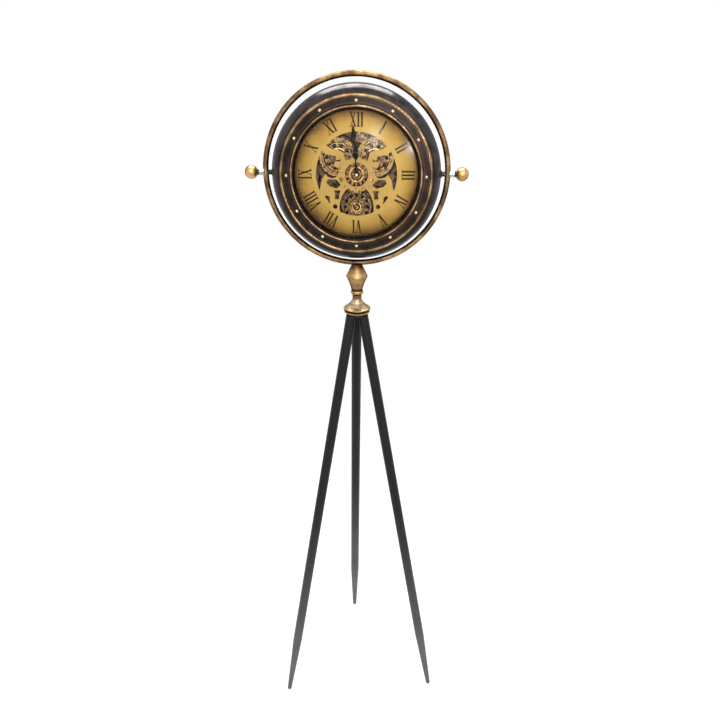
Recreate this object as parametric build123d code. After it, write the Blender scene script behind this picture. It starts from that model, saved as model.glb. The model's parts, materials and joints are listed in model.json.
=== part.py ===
from build123d import *
import os
from math import acos, atan2, cos, hypot, pi, radians, sin, sqrt, tan

# Overall sizes, in millimetres
total_height = 1550
width_over_knobs = 460
foot_circle_radius = 222
tripod_turn_degrees = 3.9

# Clearances and overruns
fit_gap = 0.05
running_gap = 0.05
turning_gap = 0.3
overrun = 2

# Legs: turned poles, each in two lengths
leg_radius = 11.4
leg_top_circle_radius = 15
upper_leg_length = 186
leg_end_chamfer = 0.6
foot_taper_length = 165
foot_tip_radius = 5.5
foot_flat_depth = 0.8
leg_stud_radius = 3
leg_stud_bite = 22
hanger_bolt_radius = 3
hanger_bolt_bite = 34
hanger_bolt_cover = 2

# Hub and turned neck, from the legs up to the ring
hub_base_height = 5.5
hub_base_radius = 24.3
hub_base_edge = 1.6
hub_disc_height = 6
hub_disc_radius = 28.4
hub_disc_edge = 0.8
hub_disc_groove_height = 2.4
hub_disc_groove_depth = 2.6
bell_radius = 30
bell_rim_height = 4.5
bell_rise = 20
bell_rim_step = 1.5
bell_sweep_width_share = 0.36
bell_sweep_rise_share = 0.45
bell_waist_radius = 9.8
bell_waist_height = 9.5
bell_collar_radius = 12
bell_collar_height = 2
neck_groove_radius = 10.5
neck_groove_height = 1.5
neck_ring_radius = 13.8
neck_ring_height = 8.5
neck_ring_bulge = 2.1
bulb_foot_radius = 12.3
bulb_belly_radius = 23.6
bulb_top_radius = 11.7
bulb_lower_height = 30
bulb_upper_height = 25
bulb_belly_edge = 1.4
bulb_saddle_depth = 3
tie_rod_radius = 4
tie_rod_bite = 7

# Ring, the pivots through it, and the ball knobs on them
ring_bar_radius = 5.8
ring_section_sides = 24
ring_to_drum_gap = 10.9
knob_radius = 13.6
knob_standoff = 10.3
knob_socket_depth = 17
stud_end_clearance = 2
knob_collar_radius = 8
knob_collar_length = 3.4
knob_collar_seat = 1.2
stud_radius = 3
outer_sleeve_radius = 6.3
inner_sleeve_radius = 5
sleeve_wrap = 2.5
saddle_gap = 0.15
boss_nose_radius = 6.4
boss_base_radius = 10.5
boss_height = 4.6
boss_shank_radius = 5
boss_shank_length = 8
boss_nut_radius = 10
boss_nut_thickness = 4
stud_tail = 6

# Drum, bezel and back cover. Depths are measured from the pivot line, the front being negative.
# Insets are measured inwards from the drum's outside
drum_wall = 1.5
drum_front_y = -17
drum_back_y = 22
drum_back_flange_width = 14
drum_back_edge = 1
bezel_skirt_thickness = 1.4
bezel_skirt_length = 5
bezel_shoulder_depth = 4
bezel_width = 46
sight_lip_thickness = 2.5
bezel_seat_width = 13
inner_ridge_inset = 38
inner_ridge_y = -39
outer_ridge_inset = 18.5
outer_ridge_y = -41
ridge_half_width = 1.8
channel_y = -35
bezel_wall = 2.6
bezel_flank_bulge = 2.4
bezel_cove_share = 0.32
rivet_count = 12
rivet_radius = 3.8
rivet_height = 2.1
back_cover_inset = 3
back_cover_thickness = 1.2
back_screw_count = 6
back_screw_inset = 8.5
back_screw_radius = 1.6
back_screw_head_radius = 3.2
back_screw_head_height = 1.4

# Glass and the ring that holds it off the dial
glass_y = -27
glass_thickness = 2.5
glass_rebate = 3.6
glass_crown = 6
spacer_step = 1
spacer_wall = 4

# Dial plate with its openwork
dial_thickness = 1.2
dial_inset = 4
dial_screw_count = 6
dial_screw_inset = 8
dial_screw_radius = 1.5
dial_screw_head_radius = 2.8
dial_screw_head_height = 1.5
openwork_radius = 82.5
centre_window_radius = 23.6
centre_rim_width = 8.5

# Wheel work
gear_module = 1.25
pressure_angle_degrees = 20
gear_backlash = 0.12
gear_root_depth_share = 1.25
side_wheel_teeth = 60
drive_pinion_teeth = 18
side_pinion_teeth = 23
centre_wheel_teeth = 56
bottom_wheel_teeth = 48
bottom_hub_teeth = 22
wheel_thickness = 2.5
thin_wheel_thickness = 2
side_wheel_front_y = -8
rear_wheel_front_y = -3
front_wheel_front_y = -13.5
wheel_hub_radius = 7
wheel_hub_height = 1.6
side_wheel_band_radius = 29.3
side_wheel_band_width = 2
side_wheel_band_height = 0.8
side_wheel_hole_radius = 3.3
side_wheel_hole_circle = 23
side_wheel_hole_count = 10
bottom_wheel_hole_radius = 2.8
bottom_wheel_hole_circle = 23.4
bottom_wheel_hole_count = 12
bottom_hub_height = 3
bottom_hub_ring_radius = 9.5
bottom_hub_ring_wall = 2
bottom_hub_ring_height = 1
centre_wheel_slot_count = 14
centre_wheel_slot_width = 3.6
centre_wheel_slot_length = 4
centre_wheel_slot_circle = 20.2
centre_band_radius = 14.2
centre_band_width = 2
centre_band_height = 1.2
centre_sleeve_radius = 8
drive_pinion_angle_degrees = 124.2
arbor_radius = 2
arbor_collar_radius = 4.2
arbor_nose = 1.6

# Back plate of the wheel work
backplate_y = 5
backplate_thickness = 1.5
backplate_radius = 97
pillar_circle_radius = 91
pillar_radius = 3.5
pillar_angles = (15, 165, 235, 305)

# Quartz movement, its shafts and the hands
movement_width = 56
movement_height = 56
movement_depth = 16.2
bush_radius = 4.5
bush_front_y = -14.6
movement_nut_radius = 8
movement_nut_thickness = 3
hour_pipe_radius = 2.5
hour_pipe_tail = 5
minute_arbor_radius = 1.6
minute_arbor_tail = 9
cell_radius = 7.25
cell_length = 50.5
cell_gap = 0.25
cell_bay_z = -16
hour_hand_y = -19.5
hour_hand_length = 60
hour_hand_boss_width = 10.6
hour_hand_leaf_width = 11.4
minute_hand_y = -22
minute_hand_margin = 26.5
minute_hand_boss_radius = 4
minute_hand_leaf_width = 11
hand_stem_width = 1.6
hand_thickness = 1
hand_cap_radius = 3.6
hand_cap_height = 2.2
minute_hand_degrees = -4.2
hour_hand_degrees = -3
minute_stem_share = 0.70
minute_leaf_shares = [(0.8, 0.735), (1, 0.77)]
hour_boss_shares = [(0, -1.5), (0.75, -0.7), (1, 0)]
hour_shoulder_shares = [(0.62, 0.16)]
hour_stem_shares = (0.40, 0.47)
hour_leaf_shares = [(0.7, 0.54), (1, 0.64)]
setting_wheel_radius = 6
setting_wheel_thickness = 3
setting_wheel_lift = 0.6
setting_stem_radius = 1.5
setting_stem_length = 6
setting_wheel_x = 14
setting_wheel_z = 12

# Gear drive unit with a cell of its own
drive_unit_width = 62
drive_unit_below_shaft = 12
drive_unit_above_shaft = 30
drive_shaft_radius = 1.5
drive_shaft_bite = 8
drive_boss_radius = 10
drive_bay_rise = 19.5
cover_opening_gap = 1

# Shares of the openwork radius, for the windows left of the dial's middle
fan_side_shares = [
    (-0.60, 0.60), (-0.49, 0.615), (-0.375, 0.575),
    (-0.31, 0.455), (-0.26, 0.32),
]
crescent_head_shares = [(-0.745, 0.47), (-0.53, 0.44), (-0.39, 0.335), (-0.455, 0.20)]
crescent_bay_shares = [
    (-0.44, 0.06), (-0.51, -0.065), (-0.64, -0.085),
    (-0.765, 0.01), (-0.835, -0.085),
]
bean_shares = [
    (-0.755, -0.20), (-0.70, -0.115), (-0.51, -0.12),
    (-0.385, -0.245), (-0.49, -0.335), (-0.66, -0.29),
]
keyhole_shares = [
    (-0.42, 0.185), (-0.335, 0.185), (-0.35, 0.11),
    (-0.325, 0.04), (-0.41, 0.04), (-0.395, 0.11),
]
wedge_shares = [(-0.325, -0.265), (-0.275, -0.265), (-0.30, -0.31)]
waisted_shares = [
    (-0.56, -0.385), (-0.40, -0.385), (-0.435, -0.49),
    (-0.44, -0.60), (-0.55, -0.59), (-0.53, -0.48),
]
drop_shares = [
    (-0.80, -0.535), (-0.745, -0.505), (-0.67, -0.545),
    (-0.675, -0.62), (-0.655, -0.73), (-0.72, -0.64),
]
dome_side_shares = [(-0.375, -0.55), (-0.19, -0.30)]
round_window_shares = [(-0.375, -0.12, 0.052), (-0.538, -0.778, 0.057)]
bean_corner_share = 0.035
fan_corner_degrees = 136.5
crescent_top_degrees = 146.5
crescent_bottom_degrees = 203
crescent_tooth_count = 4
crescent_tooth_share = 0.035
crescent_tooth_peak_share = 0.5
dome_corner_degrees = 245

# Places that follow from the sizes above
ring_outer_radius = width_over_knobs / 2 - 2 * knob_radius - knob_standoff
ring_centre_z = total_height - ring_outer_radius
ring_bar_circle = ring_outer_radius - ring_bar_radius
ring_inner_radius = ring_outer_radius - 2 * ring_bar_radius
ring_bottom_z = ring_centre_z - ring_outer_radius
bulb_top_z = ring_bottom_z
bulb_belly_z = bulb_top_z - bulb_upper_height
bulb_foot_z = bulb_belly_z - bulb_lower_height
neck_groove_z = bulb_foot_z - neck_groove_height
neck_ring_z = neck_groove_z - neck_ring_height
bell_top_z = neck_ring_z
bell_height = bell_rim_height + bell_rise + bell_waist_height + bell_collar_height
bell_bottom_z = bell_top_z - bell_height
hub_disc_z = bell_bottom_z - hub_disc_height
hub_base_z = hub_disc_z - hub_base_height
leg_top_z = hub_base_z

foot_angles = [angle + tripod_turn_degrees for angle in (-150, -30, 90)]
foot_names = ("left", "right", "rear")
foot_depths = [foot_circle_radius * sin(radians(angle)) for angle in foot_angles]
neck_y = -(max(foot_depths) + min(foot_depths)) / 2
neck_place = Pos(0, neck_y, 0)
head_place = Pos(0, neck_y, ring_centre_z)

foot_ball_z = foot_tip_radius - foot_flat_depth
leg_run = foot_circle_radius - leg_top_circle_radius
leg_rise = leg_top_z - foot_ball_z
leg_length = hypot(leg_run, leg_rise)
lower_leg_length = leg_length - upper_leg_length
leg_plane = Plane(
    origin=(foot_circle_radius, 0, foot_ball_z),
    x_dir=(leg_rise, 0, leg_run),
    z_dir=(-leg_run, 0, leg_rise),
)

knob_centre_x = width_over_knobs / 2 - knob_radius
drum_radius = ring_inner_radius - ring_to_drum_gap
boss_nose_x = drum_radius + boss_height
sight_radius = drum_radius - bezel_width
bezel_seat_inner_radius = drum_radius - bezel_seat_width
inner_ridge_radius = drum_radius - inner_ridge_inset
outer_ridge_radius = drum_radius - outer_ridge_inset
back_cover_radius = drum_radius - back_cover_inset
back_screw_circle_radius = drum_radius - back_screw_inset
dial_radius = drum_radius - dial_inset
dial_screw_circle_radius = drum_radius - dial_screw_inset
glass_radius = sight_radius + glass_rebate
spacer_inner_radius = sight_radius + spacer_step
spacer_outer_radius = spacer_inner_radius + spacer_wall
minute_hand_length = sight_radius - minute_hand_margin
dial_y = drum_front_y
dial_back_y = dial_y + dial_thickness
movement_front_y = backplate_y + backplate_thickness
movement_back_y = movement_front_y + movement_depth
side_wheel_back_y = side_wheel_front_y + wheel_thickness
rear_wheel_back_y = rear_wheel_front_y + thin_wheel_thickness
front_wheel_back_y = front_wheel_front_y + thin_wheel_thickness
glass_back_y = glass_y + glass_thickness
drive_unit_height = drive_unit_below_shaft + drive_unit_above_shaft
drive_unit_rise = (drive_unit_above_shaft - drive_unit_below_shaft) / 2


def pitch_radius(teeth):
    return gear_module * teeth / 2


side_wheel_x = pitch_radius(side_wheel_teeth)
side_to_centre = pitch_radius(side_pinion_teeth) + pitch_radius(centre_wheel_teeth)
side_wheel_z = sqrt(side_to_centre**2 - side_wheel_x**2)
drive_distance = pitch_radius(side_wheel_teeth) + pitch_radius(drive_pinion_teeth)
drive_x = side_wheel_x + drive_distance * cos(radians(drive_pinion_angle_degrees))
drive_z = side_wheel_z + drive_distance * sin(radians(drive_pinion_angle_degrees))
bottom_wheel_z = -(pitch_radius(centre_wheel_teeth) + pitch_radius(bottom_wheel_teeth))


# Ways of making a solid

def outline(*points):
    return make_face(Polyline(*points, close=True))


def turned_upright(profile):
    return revolve(Plane.XZ * profile, Axis.Z)


def turned_on_dial_axis(profile):
    return revolve(profile, Axis.Y)


def turned_on_pivot(profile):
    return revolve(profile, Axis.X)


def plate(face, front_y, thickness):
    return extrude(Plane.XZ.offset(-(front_y + thickness)) * face, amount=thickness)


def disc(radius, front_y, thickness):
    return plate(Circle(radius), front_y, thickness)


def tube(outer, inner, front_y, thickness):
    return plate(Circle(outer) - Circle(inner), front_y, thickness)


def around_dial(piece, count, radius):
    step = 360 / count
    return [Rot(0, i * step, 0) * Pos(0, 0, radius) * piece for i in range(count)]


def save(name, *solids):
    placed = [solid for piece in solids for solid in piece.solids()]
    shape = placed[0] if len(placed) == 1 else Compound(children=placed)
    export_step(shape, f"parts/{name}.step")


# Legs

def lower_leg():
    top = lower_leg_length
    profile = make_face(
        ThreePointArc(
            (0, -foot_tip_radius),
            (foot_tip_radius * sin(pi / 4), -foot_tip_radius * cos(pi / 4)),
            (foot_tip_radius, 0),
        )
        + Polyline(
            (foot_tip_radius, 0),
            (leg_radius, foot_taper_length),
            (leg_radius, top - leg_end_chamfer),
            (leg_radius - leg_end_chamfer, top),
            (0, top),
            (0, -foot_tip_radius),
        )
    )
    leg = turned_upright(profile)
    leg -= Pos(0, 0, top - leg_stud_bite) * stud_hole(leg_stud_bite)
    leg = leg_plane.location * leg
    return split(leg, bisect_by=Plane.XY, keep=Keep.TOP)


def rod(radius, length):
    return Cylinder(radius, length, align=(Align.CENTER, Align.CENTER, Align.MIN))


def stud_hole(depth):
    return rod(leg_stud_radius + fit_gap, depth + overrun)


def upper_leg():
    bottom = lower_leg_length
    top = leg_length + 2 * leg_radius
    leg = turned_upright(
        outline(
            (0, bottom),
            (leg_radius - leg_end_chamfer, bottom),
            (leg_radius, bottom + leg_end_chamfer),
            (leg_radius, top),
            (0, top),
        )
    )
    leg -= Pos(0, 0, bottom - overrun) * stud_hole(leg_stud_bite)
    leg -= Pos(0, 0, leg_length - hanger_bolt_bite) * hanger_hole()
    leg = leg_plane.location * leg
    return split(leg, bisect_by=Plane.XY.offset(leg_top_z), keep=Keep.BOTTOM)


def hanger_hole():
    length = hanger_bolt_bite + hanger_bolt_reach() + overrun
    return rod(hanger_bolt_radius + fit_gap, length)


def hanger_bolt_reach():
    lean = atan2(leg_run, leg_rise)
    climb = hub_base_height + hub_disc_height - hanger_bolt_cover
    return climb / cos(lean) - hanger_bolt_radius * tan(lean)


def leg_joint_stud():
    middle = Pos(0, 0, lower_leg_length)
    return leg_plane.location * (middle * Cylinder(leg_stud_radius, 2 * leg_stud_bite))


def hanger_bolt():
    bolt = rod(hanger_bolt_radius, hanger_bolt_bite + hanger_bolt_reach())
    return leg_plane.location * (Pos(0, 0, leg_length - hanger_bolt_bite) * bolt)


def hanger_sockets():
    hole = leg_plane.location * (Pos(0, 0, leg_length - hanger_bolt_bite) * hanger_hole())
    return [Rot(0, 0, angle) * hole for angle in foot_angles]


# Hub, neck and tie rod

def rod_bore(bottom, top):
    return Pos(0, 0, bottom - overrun) * rod(tie_rod_radius + fit_gap, top - bottom + 2 * overrun)


def hub_base():
    body = turned_upright(
        outline(
            (0, hub_base_z),
            (hub_base_radius - hub_base_edge, hub_base_z),
            (hub_base_radius, hub_base_z + hub_base_edge),
            (hub_base_radius, hub_disc_z),
            (0, hub_disc_z),
        )
    )
    return body - hanger_sockets() - rod_bore(hub_base_z, hub_disc_z)


def hub_disc():
    groove_z = bell_bottom_z - hub_disc_groove_height
    groove_radius = hub_disc_radius - hub_disc_groove_depth
    body = turned_upright(
        outline(
            (0, hub_disc_z),
            (hub_disc_radius - hub_disc_edge, hub_disc_z),
            (hub_disc_radius, hub_disc_z + hub_disc_edge),
            (hub_disc_radius, groove_z - hub_disc_edge),
            (hub_disc_radius - hub_disc_edge, groove_z),
            (groove_radius, groove_z),
            (groove_radius, bell_bottom_z),
            (0, bell_bottom_z),
        )
    )
    return body - hanger_sockets() - rod_bore(hub_disc_z, bell_bottom_z)


def bell():
    rim_top = bell_bottom_z + bell_rim_height
    waist_bottom = rim_top + bell_rise
    waist_top = waist_bottom + bell_waist_height
    rim_round = bell_rim_height / 2
    sweep_start = (bell_radius - bell_rim_step, rim_top)
    sweep_middle = (
        bell_waist_radius + (bell_radius - bell_waist_radius) * bell_sweep_width_share,
        rim_top + bell_rise * bell_sweep_rise_share,
    )
    profile = make_face(
        ThreePointArc(
            (bell_radius - rim_round, bell_bottom_z),
            (bell_radius, bell_bottom_z + rim_round),
            sweep_start,
        )
        + ThreePointArc(sweep_start, sweep_middle, (bell_waist_radius, waist_bottom))
        + Polyline(
            (bell_waist_radius, waist_bottom),
            (bell_waist_radius, waist_top),
            (bell_collar_radius, bell_top_z),
            (0, bell_top_z),
            (0, bell_bottom_z),
            (bell_radius - rim_round, bell_bottom_z),
        )
    )
    return turned_upright(profile) - rod_bore(bell_bottom_z, bell_top_z)


def neck_ring():
    middle = neck_ring_z + neck_ring_height / 2
    edge = neck_ring_radius - neck_ring_bulge
    profile = make_face(
        ThreePointArc((edge, neck_ring_z), (neck_ring_radius, middle), (edge, neck_groove_z))
        + Polyline((edge, neck_groove_z), (0, neck_groove_z), (0, neck_ring_z), (edge, neck_ring_z))
    )
    groove = Pos(0, 0, neck_groove_z) * rod(neck_groove_radius, neck_groove_height)
    return turned_upright(profile) + groove - rod_bore(neck_ring_z, bulb_foot_z)


def bulb():
    belly_low = bulb_belly_z - bulb_belly_edge
    belly_high = bulb_belly_z + bulb_belly_edge
    hollow = (
        (bulb_foot_radius + bulb_belly_radius) / 2 - bulb_belly_edge,
        (bulb_foot_z + belly_low) / 2,
    )
    rise = bulb_top_z + bulb_saddle_depth
    inset = bulb_belly_edge / 2
    profile = make_face(
        ThreePointArc((bulb_foot_radius, bulb_foot_z), hollow, (bulb_belly_radius - inset, belly_low))
        + ThreePointArc(
            (bulb_belly_radius - inset, belly_low),
            (bulb_belly_radius, bulb_belly_z),
            (bulb_belly_radius - inset, belly_high),
        )
        + Polyline(
            (bulb_belly_radius - inset, belly_high),
            (bulb_top_radius, bulb_top_z),
            (bulb_top_radius, rise),
            (0, rise),
            (0, bulb_foot_z),
            (bulb_foot_radius, bulb_foot_z),
        )
    )
    return turned_upright(profile) - rod_bore(bulb_foot_z, rise) - bulb_saddle()


def bulb_saddle():
    groove = Cylinder(ring_bar_radius + saddle_gap, 2 * bulb_belly_radius)
    return Pos(0, 0, ring_bottom_z + ring_bar_radius) * (Rot(0, 90, 0) * groove)


def tie_rod():
    top = ring_bottom_z + tie_rod_bite
    return Pos(0, 0, hub_base_z) * rod(tie_rod_radius, top - hub_base_z)


# Ring and pivots. The head's pieces are made about the pivot line, then put in place

def ring_frame():
    section = Pos(ring_bar_circle, 0) * RegularPolygon(ring_bar_radius, ring_section_sides)
    socket = rod(tie_rod_radius + fit_gap, tie_rod_bite + overrun)
    hole = Rot(0, 90, 0) * Cylinder(stud_radius + running_gap, 2 * ring_bar_radius + 2 * overrun)
    cuts = [
        Pos(-ring_bar_circle, 0, 0) * hole,
        Pos(ring_bar_circle, 0, 0) * hole,
        Pos(0, 0, -ring_outer_radius - overrun) * socket,
    ]
    return turned_on_dial_axis(section) - cuts


def bar_saddle():
    length = 2 * outer_sleeve_radius + 2 * overrun
    return Pos(ring_bar_circle, 0, 0) * Cylinder(ring_bar_radius + saddle_gap, length)


def sleeve(radius, start_x, end_x):
    return turned_on_pivot(
        outline(
            (start_x, stud_radius + running_gap),
            (start_x, radius),
            (end_x, radius),
            (end_x, stud_radius + running_gap),
        )
    )


def outer_sleeve():
    collar_x = knob_centre_x - knob_radius - knob_collar_length + knob_collar_seat
    start_x = ring_outer_radius - sleeve_wrap
    return sleeve(outer_sleeve_radius, start_x, collar_x - turning_gap) - bar_saddle()


def inner_sleeve():
    end_x = ring_inner_radius + sleeve_wrap
    return sleeve(inner_sleeve_radius, boss_nose_x + turning_gap, end_x) - bar_saddle()


def pivot_stud():
    start = drum_radius - drum_wall - boss_shank_length - stud_tail
    end = knob_centre_x - knob_radius + knob_socket_depth - stud_end_clearance
    return turned_on_pivot(outline((start, 0), (start, stud_radius), (end, stud_radius), (end, 0)))


def pivot_boss():
    shank_start = drum_radius - boss_shank_length
    bore = stud_radius + fit_gap
    return turned_on_pivot(
        outline(
            (shank_start, bore),
            (shank_start, boss_shank_radius),
            (drum_radius, boss_shank_radius),
            (drum_radius, boss_base_radius),
            (boss_nose_x, boss_nose_radius),
            (boss_nose_x, bore),
        )
    )


def boss_nut():
    seat = sqrt((drum_radius - drum_wall) ** 2 - boss_nut_radius**2) - fit_gap
    nut = turned_on_pivot(
        outline(
            (seat - boss_nut_thickness, boss_shank_radius + fit_gap),
            (seat - boss_nut_thickness, boss_nut_radius),
            (seat, boss_nut_radius),
            (seat, boss_shank_radius + fit_gap),
        )
    )
    return nut


def knob_ball():
    ball = Pos(knob_centre_x, 0, 0) * (Rot(0, 90, 0) * Sphere(knob_radius))
    face_x = knob_centre_x - knob_radius
    bore = stud_radius + running_gap
    socket = turned_on_pivot(
        outline(
            (face_x - overrun, 0),
            (face_x - overrun, bore),
            (face_x + knob_socket_depth, bore),
            (face_x + knob_socket_depth, 0),
        )
    )
    flat = turned_on_pivot(
        outline(
            (face_x - overrun, 0),
            (face_x - overrun, knob_radius),
            (face_x + knob_collar_seat, knob_radius),
            (face_x + knob_collar_seat, 0),
        )
    )
    return ball - socket - flat


def knob_collar():
    seat = knob_centre_x - knob_radius + knob_collar_seat
    start = seat - knob_collar_length
    flat_radius = sqrt(knob_radius**2 - (knob_radius - knob_collar_seat) ** 2)
    return turned_on_pivot(
        outline(
            (start, stud_radius + running_gap),
            (start, outer_sleeve_radius),
            (seat, min(knob_collar_radius, flat_radius)),
            (seat, stud_radius + running_gap),
        )
    )


# Drum, bezel, glass and back

def stud_holes_in_drum():
    reach = 2 * (drum_radius + overrun)
    return Rot(0, 90, 0) * Cylinder(boss_shank_radius + fit_gap, reach)


def case_drum():
    inner = drum_radius - drum_wall
    flange_inner = drum_radius - drum_back_flange_width
    shell = turned_on_dial_axis(
        outline(
            (inner, drum_front_y),
            (drum_radius, drum_front_y),
            (drum_radius, drum_back_y - drum_back_edge),
            (drum_radius - drum_back_edge, drum_back_y),
            (flange_inner, drum_back_y),
            (flange_inner, drum_back_y - drum_wall),
            (inner, drum_back_y - drum_wall),
        )
    )
    through = drum_wall + 2 * overrun
    screw_hole = disc(back_screw_radius + fit_gap, drum_back_y - drum_wall - overrun, through)
    return shell - stud_holes_in_drum() - around_dial(screw_hole, back_screw_count, back_screw_circle_radius)


def bezel():
    skirt_inner = drum_radius + fit_gap
    skirt_outer = skirt_inner + bezel_skirt_thickness
    shoulder_y = drum_front_y - bezel_shoulder_depth
    lip_front_y = glass_y - sight_lip_thickness
    ridge = ridge_half_width
    ridge_drop = ridge_half_width / 2
    inner_out = inner_ridge_radius + ridge
    outer_in = outer_ridge_radius - ridge
    outer_out = outer_ridge_radius + ridge
    cove_mid = (
        sight_radius + (inner_ridge_radius - ridge - sight_radius) * bezel_cove_share,
        (lip_front_y + inner_ridge_y + ridge_drop) / 2,
    )
    inner_crest_start = (inner_ridge_radius - ridge, inner_ridge_y + ridge_drop)
    inner_crest_end = (inner_out, inner_ridge_y + ridge_drop)
    outer_crest_start = (outer_in, outer_ridge_y + ridge_drop)
    outer_crest_end = (outer_out, outer_ridge_y + ridge_drop)
    flank_end = (skirt_outer, shoulder_y)
    flank_mid = (
        (outer_out + skirt_outer) / 2 + bezel_flank_bulge,
        (outer_ridge_y + ridge_drop + shoulder_y) / 2 - bezel_flank_bulge,
    )
    back_floor = channel_y + bezel_wall
    seat_front_y = drum_front_y - bezel_wall
    slant = bezel_wall / sqrt(2)
    hollow_start = (skirt_outer - bezel_wall, seat_front_y)
    hollow_mid = (flank_mid[0] - slant, flank_mid[1] + slant)
    hollow_end = (outer_ridge_radius, outer_ridge_y + bezel_wall + ridge_drop)
    profile = make_face(
        Line((sight_radius, glass_y), (sight_radius, lip_front_y))
        + ThreePointArc((sight_radius, lip_front_y), cove_mid, inner_crest_start)
        + ThreePointArc(inner_crest_start, (inner_ridge_radius, inner_ridge_y), inner_crest_end)
        + Polyline(
            inner_crest_end,
            (inner_out + ridge_drop, channel_y),
            (outer_in - ridge_drop, channel_y),
            outer_crest_start,
        )
        + ThreePointArc(outer_crest_start, (outer_ridge_radius, outer_ridge_y), outer_crest_end)
        + ThreePointArc(outer_crest_end, flank_mid, flank_end)
        + Polyline(
            flank_end,
            (skirt_outer, drum_front_y + bezel_skirt_length),
            (skirt_inner, drum_front_y + bezel_skirt_length),
            (skirt_inner, drum_front_y),
            (bezel_seat_inner_radius, drum_front_y),
            (bezel_seat_inner_radius, seat_front_y),
            hollow_start,
        )
        + ThreePointArc(hollow_start, hollow_mid, hollow_end)
        + Polyline(
            hollow_end,
            (outer_in - bezel_wall, back_floor),
            (inner_out + bezel_wall, back_floor),
            (inner_ridge_radius, inner_ridge_y + bezel_wall + ridge_drop),
            (spacer_outer_radius, glass_y),
            (sight_radius, glass_y),
        )
    )
    return turned_on_dial_axis(profile)


def crown_arc(rim_radius, rim_y, rise):
    ball_radius = (rim_radius**2 + rise**2) / (2 * rise)
    ball_y = rim_y - rise + ball_radius
    half = rim_radius / 2
    half_y = ball_y - sqrt(ball_radius**2 - half**2)
    return ThreePointArc((rim_radius, rim_y), (half, half_y), (0, rim_y - rise))


def dome(rim_radius, rim_y, rise):
    base = Polyline((0, rim_y - rise), (0, rim_y), (rim_radius, rim_y))
    return turned_on_dial_axis(make_face(crown_arc(rim_radius, rim_y, rise) + base))


def bezel_rivets():
    rivet = dome(rivet_radius, channel_y, rivet_height)
    return around_dial(rivet, rivet_count, (inner_ridge_radius + outer_ridge_radius) / 2)


def glass():
    profile = make_face(
        crown_arc(sight_radius, glass_y, glass_crown)
        + Line((0, glass_y - glass_crown), (0, glass_back_y - glass_crown))
        + crown_arc(sight_radius, glass_back_y, glass_crown)
        + Polyline(
            (sight_radius, glass_back_y),
            (glass_radius, glass_back_y),
            (glass_radius, glass_y),
            (sight_radius, glass_y),
        )
    )
    return turned_on_dial_axis(profile)


def dial_spacer():
    return tube(spacer_outer_radius, spacer_inner_radius, glass_back_y, dial_y - glass_back_y)


def back_cover():
    cover = disc(back_cover_radius, drum_back_y, back_cover_thickness)
    through = back_cover_thickness + 2 * overrun
    gap = 2 * cover_opening_gap
    opening = Rectangle(movement_width + gap, movement_height + gap)
    drive_opening = Pos(drive_x, drive_z + drive_unit_rise) * Rectangle(
        drive_unit_width + gap, drive_unit_height + gap
    )
    screw_hole = disc(back_screw_radius + fit_gap, drum_back_y - overrun, through)
    cover -= plate(opening, drum_back_y - overrun, through)
    cover -= plate(drive_opening, drum_back_y - overrun, through)
    return cover - around_dial(screw_hole, back_screw_count, back_screw_circle_radius)


def back_screws():
    head_y = drum_back_y + back_cover_thickness
    shank = disc(back_screw_radius, drum_back_y - drum_wall, head_y - drum_back_y + drum_wall)
    screw = shank + disc(back_screw_head_radius, head_y, back_screw_head_height)
    return around_dial(screw, back_screw_count, back_screw_circle_radius)


# Dial plate

def on_rim(angle):
    return (openwork_radius * cos(radians(angle)), openwork_radius * sin(radians(angle)))


def scaled(shares):
    return [(x * openwork_radius, z * openwork_radius) for x, z in shares]


def mirrored(points):
    return [(-x, z) for x, z in reversed(points)]


def fan_window():
    side = [on_rim(fan_corner_degrees)] + scaled(fan_side_shares)
    other = mirrored(side)
    inner = centre_window_radius + centre_rim_width
    return make_face(
        ThreePointArc(other[5], (0, openwork_radius), side[0])
        + ThreePointArc(side[0], side[1], side[2])
        + ThreePointArc(side[2], side[3], side[4])
        + Line(side[4], side[5])
        + ThreePointArc(side[5], (0, inner), other[0])
        + Line(other[0], other[1])
        + ThreePointArc(other[1], other[2], other[3])
        + ThreePointArc(other[3], other[4], other[5])
    )


def crescent_window():
    top = on_rim(crescent_top_degrees)
    bottom = on_rim(crescent_bottom_degrees)
    head = scaled(crescent_head_shares)
    bay = scaled(crescent_bay_shares)
    start = bay[4]
    tooth = crescent_tooth_share * openwork_radius
    teeth = []
    for i in range(crescent_tooth_count):
        for step, push in ((crescent_tooth_peak_share, -tooth), (1, 0)):
            along = (i + step) / crescent_tooth_count
            x = start[0] + (bottom[0] - start[0]) * along
            z = start[1] + (bottom[1] - start[1]) * along
            teeth.append((x + push * (1 - along), z))
    teeth[-1] = bottom
    return make_face(
        Polyline(top, *head)
        + ThreePointArc(head[3], bay[0], bay[1])
        + ThreePointArc(bay[1], bay[2], bay[3])
        + Polyline(bay[3], start, *teeth)
        + ThreePointArc(bottom, (-openwork_radius, 0), top)
    )


def dome_window():
    left = on_rim(dome_corner_degrees)
    side = scaled(dome_side_shares)
    rim = centre_window_radius + centre_rim_width / 2
    return make_face(
        ThreePointArc(left, side[0], side[1])
        + ThreePointArc(side[1], (0, -rim), (-side[1][0], side[1][1]))
        + ThreePointArc((-side[1][0], side[1][1]), (-side[0][0], side[0][1]), (-left[0], left[1]))
        + ThreePointArc((-left[0], left[1]), (0, -openwork_radius), left)
    )


def side_windows():
    bean = outline(*scaled(bean_shares))
    windows = [crescent_window(), fillet(bean.vertices(), bean_corner_share * openwork_radius)]
    for shares in (keyhole_shares, wedge_shares, waisted_shares, drop_shares):
        windows.append(outline(*scaled(shares)))
    for x, z, radius in round_window_shares:
        windows.append(Pos(x * openwork_radius, z * openwork_radius) * Circle(radius * openwork_radius))
    return windows


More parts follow.
